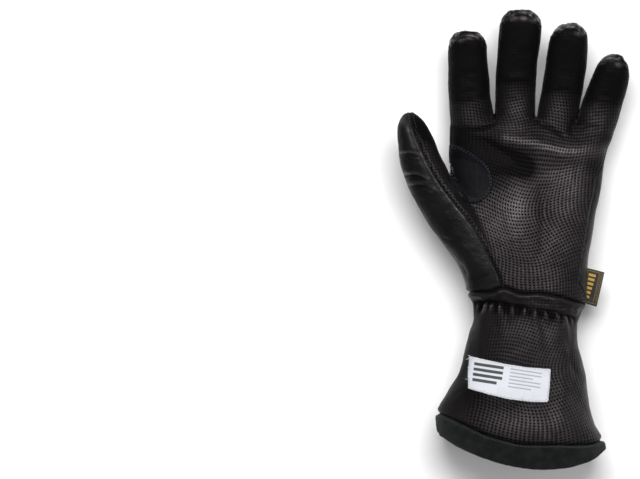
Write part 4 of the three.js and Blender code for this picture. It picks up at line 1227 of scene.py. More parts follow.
def leather(name, dark, light, rough, perforated=False, grid=False, grain=0.00012, shine=0.30):
    m = Nodes(name)
    at = m.place()
    tone = m.noise(28.0, 3.0, at)
    fine = m.noise(900.0, 4.0, at, 0.6)
    cell = m.cells(1500.0, at)
    colour = m.mix(m.ramp(tone, 0.35, 0.7), (*dark, 1), (*light, 1))
    colour = m.mix(m.ramp(fine, 0.45, 0.75, 0.0, 0.35), colour, (*[v * 1.9 for v in light], 1))
    # painted shade, near-black, in the creases of the relief, and a painted highlight, paler, on its ridges
    shade_relief = m.attr("shade_relief")
    crease_dark = m.ramp(shade_relief, 0.45, 1.9, 0.0, 0.85)
    colour = m.mix(crease_dark, colour, (0.0012, 0.0012, 0.0013, 1))
    colour = m.mix(m.ramp(shade_relief, -0.5, -1.8, 0.0, 0.35), colour, (*[v * 2.2 for v in light], 1))
    height = m.math("ADD", m.math("MULTIPLY", cell, 0.6), m.math("MULTIPLY", fine, 0.7))
    wrinkle = m.noise(310.0, 4.0, at, 0.68)
    normal = m.bump(height, grain, 0.5, m.bump(wrinkle, 0.0011, 0.45))
    rgh = m.ramp(fine, 0.3, 0.8, rough - 0.06, rough + 0.10)
    painted_light = m.attr("painted_light")
    # painted shade: the colour is darker where the painted light map is low
    colour = m.mix(m.ramp(painted_light, 0.0, 0.8, 0.45, 0.0), colour, (0.0035, 0.0034, 0.0036, 1))
    colour = m.mix(m.ramp(painted_light, 0.0, 0.05, 0.55, 0.0), colour, (0.0014, 0.0013, 0.0014, 1))
    # the specular level follows the painted light map, and is cut in the painted crease shade
    spec = m.math("MULTIPLY", m.math("SUBTRACT", 1.0, crease_dark), m.math("MULTIPLY_ADD", m.math("POWER", painted_light, 1.2), shine, 0.025))
    if perforated or grid:
        pitch = PITCH if perforated else 1.35
        uv = m.vec("MULTIPLY", m.attr("perf", "Vector"), (1 / pitch, 1 / pitch, 0))
        cellv = m.vec("SUBTRACT", m.vec("FRACTION", uv), (0.5, 0.5, 0))
        r = m.vec("LENGTH", cellv)
        hole = m.ramp(r, 0.17, 0.30, 0.95, 0.0) if perforated else m.ramp(r, 0.2, 0.45, 0.6, 0.0)
        fade = m.attr("mask")
        hole = m.math("MULTIPLY", hole, fade)
        if perforated:
            # the holes are painted near-black, for the dark lining behind them and painted shade inside them
            colour = m.mix(hole, colour, (0.0008, 0.0008, 0.0009, 1))
            # the leather between the holes stands up a little, and a painted highlight makes it paler there where the
            # painted light map is high
            lit_between_holes = m.math("MULTIPLY", m.ramp(r, 0.34, 0.62, 0.0, 0.60), m.math("MULTIPLY", fade, painted_light))
            colour = m.mix(lit_between_holes, colour, (light[0] * 3.3, light[1] * 2.9, light[2] * 3.0, 1))
            pillow = m.ramp(r, 0.24, 0.62, 0.0, 1.0)
            normal = m.bump(m.math("SUBTRACT", m.math("MULTIPLY", m.math("MULTIPLY", pillow, 0.30), fade), hole), 0.00050, 0.8, normal)
            spec = m.math("MULTIPLY", spec, m.math("SUBTRACT", 1.0, hole))
        else:
            normal = m.bump(m.math("SUBTRACT", 1.0, hole), 0.00020, 0.8, normal)
    m.link(colour, m.bsdf.inputs["Base Color"])
    m.link(rgh, m.bsdf.inputs["Roughness"])
    m.link(normal, m.bsdf.inputs["Normal"])
    m.link(spec, m.bsdf.inputs["Specular IOR Level"])
    m.bsdf.inputs["Specular Tint"].default_value = (1.0, 0.89, 0.91, 1) if perforated else (1.0, 0.96, 0.97, 1)
    m.bsdf.inputs["Sheen Weight"].default_value = 0.02
    m.bsdf.inputs["Sheen Roughness"].default_value = 0.4
    return m.mat


def knit(name, colour, pitch=0.85, fuzz=0.10, patchy=45.0, depth=0.20):
    m = Nodes(name)
    at = m.place()
    sep = m.node("ShaderNodeSeparateXYZ")
    m.link(m.attr("perf", "Vector"), sep.inputs[0])
    su = m.math("SINE", m.math("MULTIPLY", sep.outputs[0], 2 * math.pi / pitch))
    # each column of loops leans one way then the other
    lean = m.math("MULTIPLY", m.math("ABSOLUTE", su), 0.45 * pitch)
    sv = m.math("SINE", m.math("MULTIPLY", m.math("ADD", sep.outputs[1], lean), 2 * math.pi / (pitch * 0.8)))
    loop = m.math("ADD", m.math("MULTIPLY", m.math("ABSOLUTE", su), 0.6), m.math("MULTIPLY", sv, 0.4))
    fine = m.noise(1400.0, 3.0, at, 0.7)
    slow = m.noise(patchy, 4.0, at)
    col_ = m.mix(m.ramp(slow, 0.35, 0.7), (*[v * (1 - depth) for v in colour], 1), (*[v * (1 + depth) for v in colour], 1))
    col_ = m.mix(m.ramp(loop, -0.4, 0.9, 0.55, 0.0), col_, (*[v * 0.35 for v in colour], 1))
    lint = m.ramp(m.noise(3200.0, 2.0, at, 0.8), 0.70, 0.80, 0.0, 0.35)
    col_ = m.mix(lint, col_, (*[v * 5 for v in colour], 1))
    # painted shade in the creases of the relief
    col_ = m.mix(m.ramp(m.attr("shade_relief"), 0.45, 2.0, 0.0, 0.75), col_, (0.0015, 0.0018, 0.0018, 1))
    n = m.bump(m.math("ADD", loop, m.math("MULTIPLY", fine, 0.8)), 0.00016, 0.8)
    m.link(col_, m.bsdf.inputs["Base Color"])
    m.link(n, m.bsdf.inputs["Normal"])
    m.bsdf.inputs["Roughness"].default_value = 0.95
    m.bsdf.inputs["Specular IOR Level"].default_value = 0.12
    m.bsdf.inputs["Sheen Weight"].default_value = fuzz
    m.bsdf.inputs["Sheen Roughness"].default_value = 0.5
    m.bsdf.inputs["Sheen Tint"].default_value = (0.80, 0.92, 0.95, 1)
    return m.mat


def box_of(m, u, v, u0, u1, v0, v1, soft=0.18):
    """1 inside a rectangle of the piece's flat coordinates, in millimetres."""
    a = m.math("MULTIPLY", m.ramp(u, u0 - soft, u0 + soft), m.ramp(u, u1 - soft, u1 + soft, 1.0, 0.0))
    b = m.math("MULTIPLY", m.ramp(v, v0 - soft, v0 + soft), m.ramp(v, v1 - soft, v1 + soft, 1.0, 0.0))
    return m.math("MULTIPLY", a, b)


def woven(name, base, shapes, frame_of=None, rough=0.55, thread=0.34, spec=0.35):
    """A woven label: a base colour and rectangles (u0, u1, v0, v1, colour) laid over it in order."""
    m = Nodes(name)
    at = m.place()
    sep = m.node("ShaderNodeSeparateXYZ")
    m.link(m.attr("flat", "Vector"), sep.inputs[0])
    u, v = sep.outputs[0], sep.outputs[1]
    slow = m.noise(60.0, 3.0, at)
    colour = m.mix(m.ramp(slow, 0.35, 0.7), (*[c * 0.90 for c in base], 1), (*base, 1))
    for u0, u1, v0, v1, c in shapes:
        colour = m.mix(box_of(m, u, v, u0, u1, v0, v1), colour, (*c, 1))
    wu = m.math("SINE", m.math("MULTIPLY", u, 2 * math.pi / thread))
    wv = m.math("SINE", m.math("MULTIPLY", v, 2 * math.pi / (thread * 1.3)))
    weave = m.math("ADD", m.math("MULTIPLY", wu, 0.5), m.math("MULTIPLY", wv, 0.5))
    colour = m.mix(m.ramp(weave, -1.0, 0.2, 0.22, 0.0), colour, (*[c * 0.45 for c in base], 1))
    soil = m.ramp(m.noise(220.0, 4.0, at, 0.65), 0.55, 0.80, 0.0, 0.14)
    colour = m.mix(soil, colour, (0.20, 0.20, 0.19, 1))
    m.link(colour, m.bsdf.inputs["Base Color"])
    m.link(m.bump(weave, 0.00006, 0.7), m.bsdf.inputs["Normal"])
    m.link(m.ramp(weave, -1.0, 1.0, rough + 0.08, rough - 0.05), m.bsdf.inputs["Roughness"])
    m.bsdf.inputs["Specular IOR Level"].default_value = spec
    m.bsdf.inputs["Sheen Weight"].default_value = 0.08
    return m.mat


def thread_mat(name, colour, rough=0.6):
    m = Nodes(name)
    at = m.place()
    twist = m.noise(2600.0, 2.0, at, 0.6)
    m.link(m.mix(m.ramp(twist, 0.35, 0.65), (*[c * 0.6 for c in colour], 1), (*[c * 1.3 for c in colour], 1)), m.bsdf.inputs["Base Color"])
    m.link(m.bump(twist, 0.00008, 0.6), m.bsdf.inputs["Normal"])
    m.bsdf.inputs["Roughness"].default_value = rough
    m.bsdf.inputs["Specular IOR Level"].default_value = 0.3
    return m.mat


MATS = {
    "perforated_leather": leather("perforated_leather", (0.0038, 0.0034, 0.0036), (0.0080, 0.0071, 0.0074), 0.45, perforated=True, shine=0.72),
    "smooth_leather": leather("smooth_leather", (0.0040, 0.0038, 0.0040), (0.0070, 0.0066, 0.0068), 0.38, shine=0.60),
    "grain_leather": leather("grain_leather", (0.0045, 0.0042, 0.0044), (0.0085, 0.0080, 0.0082), 0.36, grid=True, shine=0.85),
    "suede_patch": leather("suede_patch", (0.0034, 0.0034, 0.0050), (0.0054, 0.0055, 0.0080), 0.52, shine=0.30),
    "knit": knit("knit", (0.0074, 0.0080, 0.0082)),
    "knit_padded": knit("knit_padded", (0.0074, 0.0080, 0.0082)),
    "knit_hem": knit("knit_hem", (0.0070, 0.0073, 0.0074), fuzz=0.08, patchy=150.0, depth=0.42),
}
SLOT = {r["node"]: r["material_slot"] for r in frame["record"]["subparts"]}
for name, ob in OB.items():
    ob.data.materials.append(MATS["knit_hem" if name == "hem_band" else SLOT[name]])

# ------------------------------------------------------------------ pieces sewn onto the skin
def edge_distance(tris):
    """Distance of every point used by the triangles to the region's own border."""
    b = border(tris)
    cloud = np.vstack([P[b[:, 0]], (P[b[:, 0]] + P[b[:, 1]]) / 2])
    used = np.unique(tris)
    out = np.zeros(len(P))
    _, d = nearest(P[used], cloud)
    out[used] = d
    return out


def applied(name, node, tris, lift, under, material, attributes, low=0.25, bevel=0.7, base=None):
    """A sewn-on piece: its top stands lift above the ground, and rounds down at its border."""
    ground = PD if base is None else base
    d = edge_distance(tris)
    h = low + (lift - low) * np.sqrt(np.clip(1 - (1 - np.clip(d / bevel, 0, 1)) ** 2, 0, 1))
    top = ground + PN * h[:, None]
    top[:, 2] = np.maximum(top[:, 2], 0.02)
    bottom = ground + PN * under
    ob = shell(name, tris, top, bottom, attributes)
    ob.data.materials.append(material)
    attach(ob, "root")
    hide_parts(node)
    return ob, top


def flat_coordinates(corner, along):
    """Millimetres along and across a label, measured in plan from a corner."""
    o, a = shifted([corner, along])
    e = (a - o) / np.linalg.norm(a - o)
    dx, dy = X - o[0], Y - o[1]
    return np.stack([dx * e[0] + dy * e[1], dx * e[1] - dy * e[0], np.zeros(len(P))], 1)


patch_ob, PATCH_TOP = applied("web_patch", "thumb_web_patch", PATCH_T, 1.0, 0.1, MATS["suede_patch"], dict(ATT, mask=np.ones(len(P))))

GREY, CHAR, RED = (0.30, 0.31, 0.33), (0.030, 0.031, 0.034), (0.42, 0.018, 0.016)
palm_bars = [(5.0, 26.0 - 3.5 * (k == 3), 4.4 + 3.9 * k, 6.6 + 3.9 * k, CHAR) for k in range(4)]
palm_bars += [(31.0, 54.0 - 6.0 * (k % 3 == 2), 4.8 + 2.6 * k, 5.7 + 2.6 * k, GREY) for k in range(6)]
MATS["woven_label"] = woven("woven_label", (0.60, 0.62, 0.66), palm_bars)
MATS["back_label"] = woven("back_label", (0.62, 0.64, 0.68), [(2.0, 50.0, 8.6, 15.2, (0.012, 0.012, 0.013)), (6.0, 38.0, 9.8, 11.3, (0.60, 0.62, 0.66)),
                                                             (6.0, 30.0, 12.6, 14.1, RED)])
lab = flat_coordinates(PALM_LABEL[0], PALM_LABEL[1])
# its short left edge has come loose a little and curls up
curl = 0.9 * np.exp(-np.clip(lab[:, 0], 0, 99) / 2.2) * (0.4 + 0.6 * np.exp(-np.clip(lab[:, 1], 0, 99) / 9))
LABEL_BASE = PD + PN * (curl + 0.30 * noise(P, 9.0, 81) + 0.12 * noise(P, 3.5, 82))[:, None]
label_ob, LABEL_TOP = applied("palm_label_cloth", "palm_label", LABEL_T, 0.75, 0.12, MATS["woven_label"], dict(ATT, flat=lab), low=0.45, bevel=0.4, base=LABEL_BASE)
blab = flat_coordinates(BACK_LABEL[0], BACK_LABEL[1])
blab[:, 1] *= -1
back_label_ob, BACK_LABEL_TOP = applied("back_label_cloth", "back_label", BACK_LABEL_T, 0.75, 0.12, MATS["back_label"], dict(ATT, flat=blab), low=0.45, bevel=0.4)

def badge_material():
    m = Nodes("badge_rubber")
    at = m.place()
    sep = m.node("ShaderNodeSeparateXYZ")
    m.link(m.attr("flat", "Vector"), sep.inputs[0])
    u, v = sep.outputs[0], sep.outputs[1]
    black, yellow = (0.012, 0.011, 0.010, 1), (0.78, 0.50, 0.020, 1)
    edge = m.attr("edge")
    ring_ = m.math("MULTIPLY", m.ramp(edge, 1.3, 1.6), m.ramp(edge, 3.0, 3.3, 1.0, 0.0))
    # a plain honeycomb field: rows of dots, every other row moved by half a step
    step_ = 5.2
    a = m.math("DIVIDE", v, step_ * 0.866)
    odd = m.math("FRACT", m.math("MULTIPLY", m.math("FLOOR", a), 0.5))
    fu = m.math("SUBTRACT", m.math("FRACT", m.math("ADD", m.math("DIVIDE", u, step_), odd)), 0.5)
    fv = m.math("MULTIPLY", m.math("SUBTRACT", m.math("FRACT", a), 0.5), 0.866)
    r = m.math("SQRT", m.math("ADD", m.math("MULTIPLY", fu, fu), m.math("MULTIPLY", fv, fv)))
    dots = m.math("MULTIPLY", m.ramp(r, 0.33, 0.37, 1.0, 0.0), m.ramp(edge, 4.6, 5.0))
    mark = m.math("MAXIMUM", ring_, dots)
    colour = m.mix(mark, black, yellow)
    dirt = m.ramp(m.noise(300.0, 4.0, at, 0.6), 0.5, 0.8, 0.0, 0.35)
    colour = m.mix(dirt, colour, (0.05, 0.04, 0.02, 1))
    m.link(colour, m.bsdf.inputs["Base Color"])
    grain = m.math("ADD", mark, m.math("MULTIPLY", m.noise(1800.0, 3.0, at), 0.15))
    m.link(m.bump(grain, 0.00045, 0.9), m.bsdf.inputs["Normal"])
    m.link(m.ramp(m.noise(500.0, 3.0, at), 0.3, 0.7, 0.38, 0.55), m.bsdf.inputs["Roughness"])
    return m.mat


MATS["badge_rubber"] = badge_material()
bad = flat_coordinates(BADGE[1], BADGE[2])
bad[:, 1] *= -1
d_badge = edge_distance(BADGE_T)
raised = 0.35 * (step(1.2, 1.7, d_badge) - step(2.9, 3.4, d_badge))
badge_ob, BADGE_TOP = applied("badge_plate", "wrist_badge", BADGE_T, 1.5, 0.12, MATS["badge_rubber"], dict(ATT, flat=bad, edge=d_badge), low=0.5, bevel=0.8,
                              base=PD + PN * raised[:, None])

# the guard: foam ribs under the knit, with sewn channels between them
g_lines = [guard_at(k, X) for k in (1, 2, 3, 4)]
rib = np.zeros(len(P))
for a, b, tall in ((g_lines[0], g_lines[1], 4.1), (g_lines[1], g_lines[2], 4.3), (g_lines[2], g_lines[3], 4.4)):
    t = (Y - a) / np.maximum(b - a, 1)
    inside = (t >= 0) & (t <= 1)
    rib = np.where(inside, tall * np.sqrt(np.clip(1 - (2 * t - 1) ** 2, 0, 1)) ** 0.9, rib)
flatness = step(-0.05, 0.80, -PN[:, 2])
G_HEIGHT = 2.7 + rib * flatness
for k in (1, 2):
    d = np.abs(Y - g_lines[k])
    G_HEIGHT -= 0.9 * bump(d, 1.0)
    # tiny pleats run into the stitched channels
    G_HEIGHT += 0.45 * noise1(X, 1.9, 60 + k) * np.exp(-d / 3.2)
G_HEIGHT += 0.35 * noise(P, 11.0, 63) + 0.5 * noise(np.stack([X * 0.35, Y, Z * 0.3], 1), 7.0, 64) * (0.4 + 0.6 * (1 - flatness))
d_guard = edge_distance(GUARD_T)
G_HEIGHT = 0.9 + (G_HEIGHT - 0.9) * step(-0.15, 0.5, -PN[:, 2])
G_HEIGHT = 0.7 + (G_HEIGHT - 0.7) * np.sqrt(np.clip(1 - (1 - np.clip(d_guard / 3.4, 0, 1)) ** 2, 0, 1))
GUARD_TOP = P + PN * G_HEIGHT[:, None]
GUARD_TOP[:, 2] = np.maximum(GUARD_TOP[:, 2], 0.02)
# painted shade in the sewn channels between the ribs, where the ribs are low
G_SHADE_RELIEF = np.clip(2.4 - rib * 0.9, -0.5, 2.0) * (d_guard > 3.0)
guard_ob = shell("guard_pad", GUARD_T, GUARD_TOP, P + PN * 0.15, {"perf": perf_of("guard"), "shade_relief": G_SHADE_RELIEF, "painted_light": PAINTED_LIGHT})
guard_ob.data.materials.append(MATS["knit_padded"])
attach(guard_ob, "root")
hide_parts("knuckle_guard")

# ------------------------------------------------------------------ the side tag: a folded strip
TAG = [to_xy(587.0, 267.4), to_xy(605, 272), to_xy(597, 306.5), to_xy(579.5, 301.0)]


def tag_mesh(nu=28, nv=44, thick=0.55):
    """Two layers of ribbon joined by the fold at the free end, with a small gap between them."""
    a, b, c, d = (np.array(v) for v in TAG)
    # round the fold: u runs out on the top layer, round the fold and back on the lower layer
    u = np.concatenate([np.linspace(-0.28, 0.965, nu), 0.965 + 0.035 * np.sin(np.linspace(0.2, math.pi - 0.2, 6)), np.linspace(0.965, -0.28, nu)])
    side = np.concatenate([np.full(nu, 1.0), np.cos(np.linspace(0.2, math.pi - 0.2, 6)), np.full(nu, -1.0)])
    v = np.linspace(0, 1, nv)
    U, V = np.meshgrid(u, v, indexing="ij")
    S = np.repeat(side[:, None], nv, 1)
    xy = ((1 - U)[..., None] * ((1 - V)[..., None] * a + V[..., None] * d) + U[..., None] * ((1 - V)[..., None] * b + V[..., None] * c))
    z = 29.0 - 2.2 * U - 1.6 * (V - 0.5) ** 2 * 4 * U + 0.5 * np.sin(V * 5 + 0.6) * U + 0.55 * S * (0.6 + 0.4 * np.sqrt(np.clip(1 - U, 0, 1)))
    mid = np.dstack([xy, z])
    n = np.cross(np.gradient(mid, axis=0), np.gradient(mid, axis=1))
    n /= np.maximum(np.linalg.norm(n, axis=2), 1e-9)[..., None]
    if n[3, nv // 2, 2] < 0:
        n = -n
    out, inn = mid + n * thick / 2, mid - n * thick / 2
    k = len(u)
    points = np.vstack([out.reshape(-1, 3), inn.reshape(-1, 3)])
    at = lambda i, j, s_: s_ * k * nv + i * nv + j
    faces = []
    for i in range(k - 1):
        for j in range(nv - 1):
            faces.append((at(i, j, 0), at(i + 1, j, 0), at(i + 1, j + 1, 0), at(i, j + 1, 0)))
            faces.append((at(i, j, 1), at(i, j + 1, 1), at(i + 1, j + 1, 1), at(i + 1, j, 1)))
    for i in range(k - 1):
        faces.append((at(i, 0, 0), at(i, 0, 1), at(i + 1, 0, 1), at(i + 1, 0, 0)))
        faces.append((at(i, nv - 1, 0), at(i + 1, nv - 1, 0), at(i + 1, nv - 1, 1), at(i, nv - 1, 1)))
    for j in range(nv - 1):
        faces.append((at(0, j, 0), at(0, j + 1, 0), at(0, j + 1, 1), at(0, j, 1)))
        faces.append((at(k - 1, j, 0), at(k - 1, j, 1), at(k - 1, j + 1, 1), at(k - 1, j + 1, 0)))
    width = float(np.linalg.norm(b - a))
    height = float(np.linalg.norm(d - a))
    flat = np.dstack([U * width, V * height, np.zeros_like(U)]).reshape(-1, 3)
    return points, np.array(faces), np.vstack([flat, flat]), width, height


points, faces, flat, tag_w, tag_h = tag_mesh()
GOLD, DIM_GOLD, TAG_BLACK = (0.42, 0.26, 0.040), (0.16, 0.115, 0.040), (0.010, 0.0095, 0.009)
tag_shapes = [(-9, 99, 0.0, 0.3, DIM_GOLD), (1.0, tag_w - 0.8, 1.2, tag_h - 1.2, DIM_GOLD), (1.5, tag_w - 1.3, 1.7, tag_h - 1.7, TAG_BLACK),
              (tag_w - 3.5, tag_w - 3.1, 2.0, tag_h - 2.0, DIM_GOLD)]
tag_shapes += [(2.6 + 0.25 * k, tag_w - 5.6 - 0.25 * k, 3.4 + 3.2 * k, 5.2 + 3.2 * k, GOLD) for k in range(6)]
tag_shapes += [(tag_w - 2.6, tag_w - 1.9, 2.8 + 1.6 * k, 3.6 + 1.6 * k, DIM_GOLD) for k in range(int((tag_h - 5.6) / 1.6))]
MATS["woven_tag"] = woven("woven_tag", TAG_BLACK, tag_shapes, rough=0.5, thread=0.42, spec=0.3)
tag_ob = new_mesh("tag_ribbon", points, faces, {"flat": flat})
tag_ob.data.materials.append(MATS["woven_tag"])
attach(tag_ob, "root")
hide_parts("side_tag")

# ------------------------------------------------------------------ stitches
def tree_of(points, tris):
    used, t = np.unique(tris, return_inverse=True)
    return BVHTree.FromPolygons(points[used].tolist(), t.reshape(-1, 3).tolist())


SKIN = tree_of(PD, np.vstack(list(PIECES.values())))


def even(path, gap, closed=False):
    path = np.asarray(path, float)
    if closed:
        path = np.vstack([path, path[:1]])
    s_ = np.concatenate([[0], np.cumsum(np.linalg.norm(np.diff(path, axis=0), axis=1))])
    if s_[-1] < gap * 2:
        return path[:0]
    at = np.arange(gap * 0.5, s_[-1], gap)
    return np.stack([np.interp(at, s_, path[:, k]) for k in range(3)], 1)


def smoothed(path, closed, rounds=6):
    p = np.array(path, float)
    for _ in range(rounds):
        if closed:
            p = 0.5 * p + 0.25 * (np.roll(p, 1, 0) + np.roll(p, -1, 0))
        else:
            p[1:-1] = 0.5 * p[1:-1] + 0.25 * (p[:-2] + p[2:])
    return p


def row(path, ground, inward, length=1.9, gap=0.75, closed=False, cross=False, jitter=0.05, seed=0):
    """Stitches along a path: the place, direction, up and length of each."""
    path = smoothed(path, closed)
    pts = even(path, length + gap, closed)
    if len(pts) < 3:
        return []
    tang = np.gradient(pts, axis=0)
    tang /= np.maximum(np.linalg.norm(tang, axis=1), 1e-9)[:, None]
    out = []
    for k, (p, t) in enumerate(zip(pts, tang)):
        hit = ground.find_nearest(Vector(p), 12.0)
        if hit[0] is None:
            continue
        n = np.array(hit[1])
        side = np.cross(n, t)
        q = p + side * inward
        hit = ground.find_nearest(Vector(q), 12.0)
        if hit[0] is None:
            continue
        n = np.array(hit[1])
        d = side if cross else t
        d = d - n * np.dot(d, n)
        d /= max(np.linalg.norm(d), 1e-9)
        w = jitter * math.sin(k * 12.9898 + seed * 4.1)
        d = d + np.cross(n, d) * w
        out.append((np.array(hit[0]), d / np.linalg.norm(d), n, length * (1 + 0.12 * math.sin(k * 7.77 + seed))))
    return out


RINGS = [(-0.5, 0.35, -0.75), (-0.40, 0.85, -0.15), (-0.15, 1.0, 0.35), (0.15, 1.0, 0.35), (0.40, 0.85, -0.15), (0.5, 0.35, -0.75)]


def stitches(name, stitch_list, radius, material, sides=6):
    """All the stitches of one thread as a single mesh of small arched capsules."""
    if not stitch_list:
        print("no stitches in", name)
        return None
    c = np.array([v[0] for v in stitch_list])
    d = np.array([v[1] for v in stitch_list])
    n = np.array([v[2] for v in stitch_list])
    l = np.array([v[3] for v in stitch_list])
    b = np.cross(n, d)
    verts = []
    for along, fat, rise in RINGS:
        for k in range(sides):
            a = 2 * math.pi * k / sides
            verts.append(c + d * (l * along)[:, None] + b * (radius * fat * math.cos(a)) + n * (radius * (fat * math.sin(a) + rise)))
    verts.append(c + d * (-0.53 * l)[:, None] - n * radius * 0.8)
    verts.append(c + d * (0.53 * l)[:, None] - n * radius * 0.8)
    verts = np.stack(verts, 1)
    m = verts.shape[1]
    faces = []
    for r in range(len(RINGS) - 1):
        for k in range(sides):
            a0, a1 = r * sides + k, r * sides + (k + 1) % sides
            faces += [(a0, a0 + sides, a1 + sides), (a0, a1 + sides, a1)]
    last = (len(RINGS) - 1) * sides
    for k in range(sides):
        faces.append((m - 2, k, (k + 1) % sides))
        faces.append((m - 1, last + (k + 1) % sides, last + k))
    faces = np.array(faces)[:, ::-1]
    total = (faces[None] + (np.arange(len(c)) * m)[:, None, None]).reshape(-1, 3)
    pts = verts.reshape(-1, 3)
    pts[:, 2] = np.maximum(pts[:, 2], 0.01)
    ob = new_mesh(name, pts, total)
    ob.data.materials.append(material)
    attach(ob, "root")
    print(name, len(c), "stitches")
    return ob


def ring_path(tris, points):
    return points[np.array(loops(tris)[0])]


def cut_size(tris, used, u_, v_):
    """Flat width, length and area of a piece in metres, from its laid-flat coordinates."""
    a_, b_, c_ = (P[tris[:, k]] for k in range(3))
    area_ = np.linalg.norm(np.cross(b_ - a_, c_ - a_), axis=1).sum() / 2 * 1e-6
    w_, l_ = np.ptp(u_) * MM, np.ptp(v_) * MM
    return w_, l_, area_


for name, held, on in (("cuff_front", "gathered", "hem_band"), ("cuff_back", "gathered", "hem_band"), ("hem_band", "folded", "cuff_front"),
                       ("palm_panel", "stretched", "cuff_front"), ("back_panel", "stretched", "wrist_panel"), ("wrist_panel", "stretched", "cuff_back"),
                       ("thumb_outer", "stretched", "palm_panel"), ("thumb_back", "stretched", "palm_panel"), ("palm_label", "laid", "cuff_front"),
                       ("back_label", "laid", "cuff_back"), ("thumb_web_patch", "laid", "palm_panel")):
    tris_ = {"palm_label": LABEL_T, "back_label": BACK_LABEL_T, "thumb_web_patch": PATCH_T}.get(name)
    tris_ = PIECES[name] if tris_ is None else tris_
    if name in FLAT:
        w_, l_, area_ = cut_size(tris_, *FLAT[name])
    else:
        w_, l_, area_ = cut_size(tris_, *unroll(tris_, 160))
    if name == "hem_band":
        # a strip as long as its two rims on average, folded round the edge
        rims = [P[np.array(ring)] for ring in loops(tris_)[:2]]
        w_ = float(np.mean([np.linalg.norm(r - np.roll(r, 1, 0), axis=1).sum() for r in rims])) * MM
        area_ *= 1.27
        l_ = area_ / w_
        print("hem strip", w_, l_)

DARK_THREAD = thread_mat("dark_thread", (0.020, 0.020, 0.026), 0.45)
PATCH_THREAD = thread_mat("patch_thread", (0.016, 0.017, 0.026), 0.45)
PALE_THREAD = thread_mat("pale_thread", (0.34, 0.35, 0.37), 0.7)
WHITE_THREAD = thread_mat("white_thread", (0.55, 0.57, 0.60), 0.7)

patch_tree = tree_of(PATCH_TOP, PATCH_T)
ring = ring_path(PATCH_T, PATCH_TOP)
patch_rows = row(ring, patch_tree, 1.5, closed=True, seed=1) + row(ring, patch_tree, 3.4, closed=True, seed=2)
patch_rows = [v for v in patch_rows if v[2][2] > 0.45]
stitches("patch_stitches", patch_rows, 0.30, PATCH_THREAD)

label_tree = tree_of(LABEL_TOP, LABEL_T)
ring = ring_path(LABEL_T, LABEL_TOP)
stitches("label_stitches", row(ring, label_tree, 1.5, 1.7, 0.9, closed=True, seed=3), 0.17, PALE_THREAD)
edge_x, edge_y = shifted([LABEL_LINE[0], LABEL_LINE[-1]]).T
loose = []
for k in range(12):
    down = (0.02, 0.06, 0.10, 0.15, 0.21, 0.28, 0.38, 0.50, 0.62, 0.80, 1.02, 1.40)[k]
    x_, y_ = edge_x[0] + (edge_x[1] - edge_x[0]) * down + 0.5, edge_y[0] + (edge_y[1] - edge_y[0]) * down
    hit = label_tree.ray_cast(Vector((x_ + 0.4, y_, 120.0)), Vector((0, 0, -1)))
    if hit[0] is None:
        continue
    way = np.array([-1.0, 0.75 * math.sin(k * 5.1 + 0.6), -0.10 + 0.25 * math.sin(k * 3.3)])
    way /= np.linalg.norm(way)
    length = 2.6 + 1.3 * math.sin(k * 1.9) + (1.6 if k < 3 else 0)
    loose.append((np.array(hit[0]) + way * (length * 0.42 - 0.5) + np.array([0, 0, 0.1]), way, np.array([0.0, 0.0, 1.0]), length))
stitches("loose_threads", loose, 0.16, WHITE_THREAD)
back_tree = tree_of(BACK_LABEL_TOP, BACK_LABEL_T)
ring = ring_path(BACK_LABEL_T, BACK_LABEL_TOP)
stitches("back_label_stitches", row(ring, back_tree, 1.3, 1.7, 0.9, closed=True, seed=4), 0.17, PALE_THREAD)

seam_rows, knit_rows, whip_rows = [], [], []
for name, kind, ids in SEAM_RUNS:
    path = P[np.array(ids)]
    if kind == "thumb":
        seam_rows += row(path, SKIN, 1.9, 1.6, 0.8, seed=5)
    elif kind == "side" and (name.startswith("fourchette") or name.endswith("_side")):
        seam_rows += row(path, SKIN, 1.3, 1.5, 0.8, seed=6)
    elif kind == "cap" and name == "back_panel":
        knit_rows += row(path, SKIN, 1.5, 1.6, 0.7, seed=7) + row(path, SKIN, 3.4, 1.6, 0.7, seed=8)
    elif kind == "plain" and name == "wrist_panel":
        whip_rows += row(path, SKIN, 0.4, 2.0, 0.1, cross=True, seed=9)
    elif kind == "plain" and name == "thumb_back":
        whip_rows += row(path, SKIN, 0.2, 1.6, 0.5, cross=True, seed=10)
    elif kind == "cuffside" and name == "cuff_front":
        seam_rows += row(path, SKIN, 1.8, 1.8, 0.8, seed=11)
    elif kind == "hem" and name == "hem_band":
        knit_rows += row(path, SKIN, 2.0, 1.9, 0.8, seed=12)
stitches("seam_stitches", seam_rows, 0.24, DARK_THREAD)
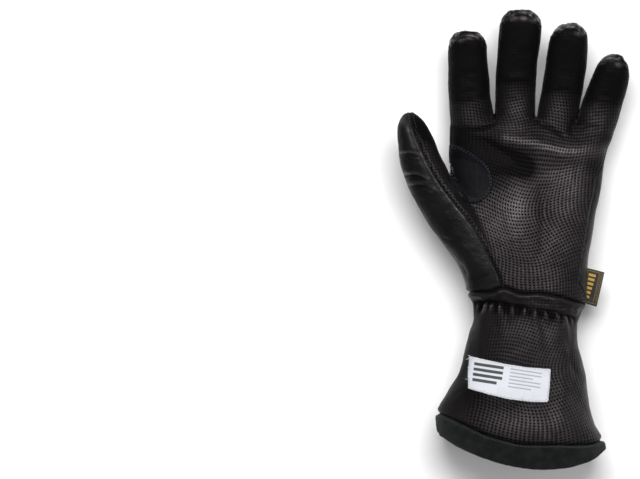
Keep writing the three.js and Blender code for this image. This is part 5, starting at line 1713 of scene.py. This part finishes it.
guard_tree = tree_of(GUARD_TOP, GUARD_T)
gx_line = np.linspace(-46, 64, 120)
for k in (1, 2):
    for off in (-0.9, 0.9):
        line = np.stack([gx_line, guard_at(1 + k, gx_line) + off, np.full(120, 3.0)], 1)
        knit_rows += row(line, guard_tree, 0.0, 1.9, 0.8, seed=13 + k)
ring = ring_path(GUARD_T, GUARD_TOP)
knit_rows += row(ring, guard_tree, 2.2, 1.9, 0.8, closed=True, seed=16)
stitches("knit_stitches", knit_rows, 0.24, DARK_THREAD)
stitches("whip_stitches", whip_rows, 0.20, PALE_THREAD)

# ------------------------------------------------------------------ floor and light
fl = new_mesh("floor", [(-3000, -3000, 0), (3000, -3000, 0), (3000, 3000, 0), (-3000, 3000, 0)], [(0, 1, 2, 3)], smooth=False)
fm = bpy.data.materials.new("floor")
fm.use_nodes = True
fb = fm.node_tree.nodes["Principled BSDF"]
fb.inputs["Base Color"].default_value = (0.90, 0.90, 0.90, 1)
fb.inputs["Roughness"].default_value = 0.9
fl.data.materials.append(fm)
fl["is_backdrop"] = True


def area(name, place, target, size, power, colour=(1, 1, 1)):
    d = bpy.data.lights.new(name, "AREA")
    d.shape = "RECTANGLE"
    d.size, d.size_y = size
    d.energy = power
    d.color = colour
    o = bpy.data.objects.new(name, d)
    o.location = place
    o.rotation_euler = (Vector(target) - Vector(place)).to_track_quat("-Z", "Y").to_euler()
    bpy.context.scene.collection.objects.link(o)
    return o


area("key", (0.0, 0.58, 1.35), (-0.03, 0, 0.03), (1.0, 0.7), 25)
area("fill_right", (0.9, -0.2, 1.2), (0, 0, 0.03), (1.0, 1.0), 4)
area("fill_left", (-1.1, -0.5, 1.1), (-0.15, 0, 0.0), (1.0, 1.0), 5)
world = bpy.data.worlds.new("world")
bpy.context.scene.world = world
world.use_nodes = True
world.node_tree.nodes["Background"].inputs["Color"].default_value = (1, 1, 1, 1)
world.node_tree.nodes["Background"].inputs["Strength"].default_value = 0.20
bpy.context.scene.view_settings.view_transform = "Standard"

lo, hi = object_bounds()
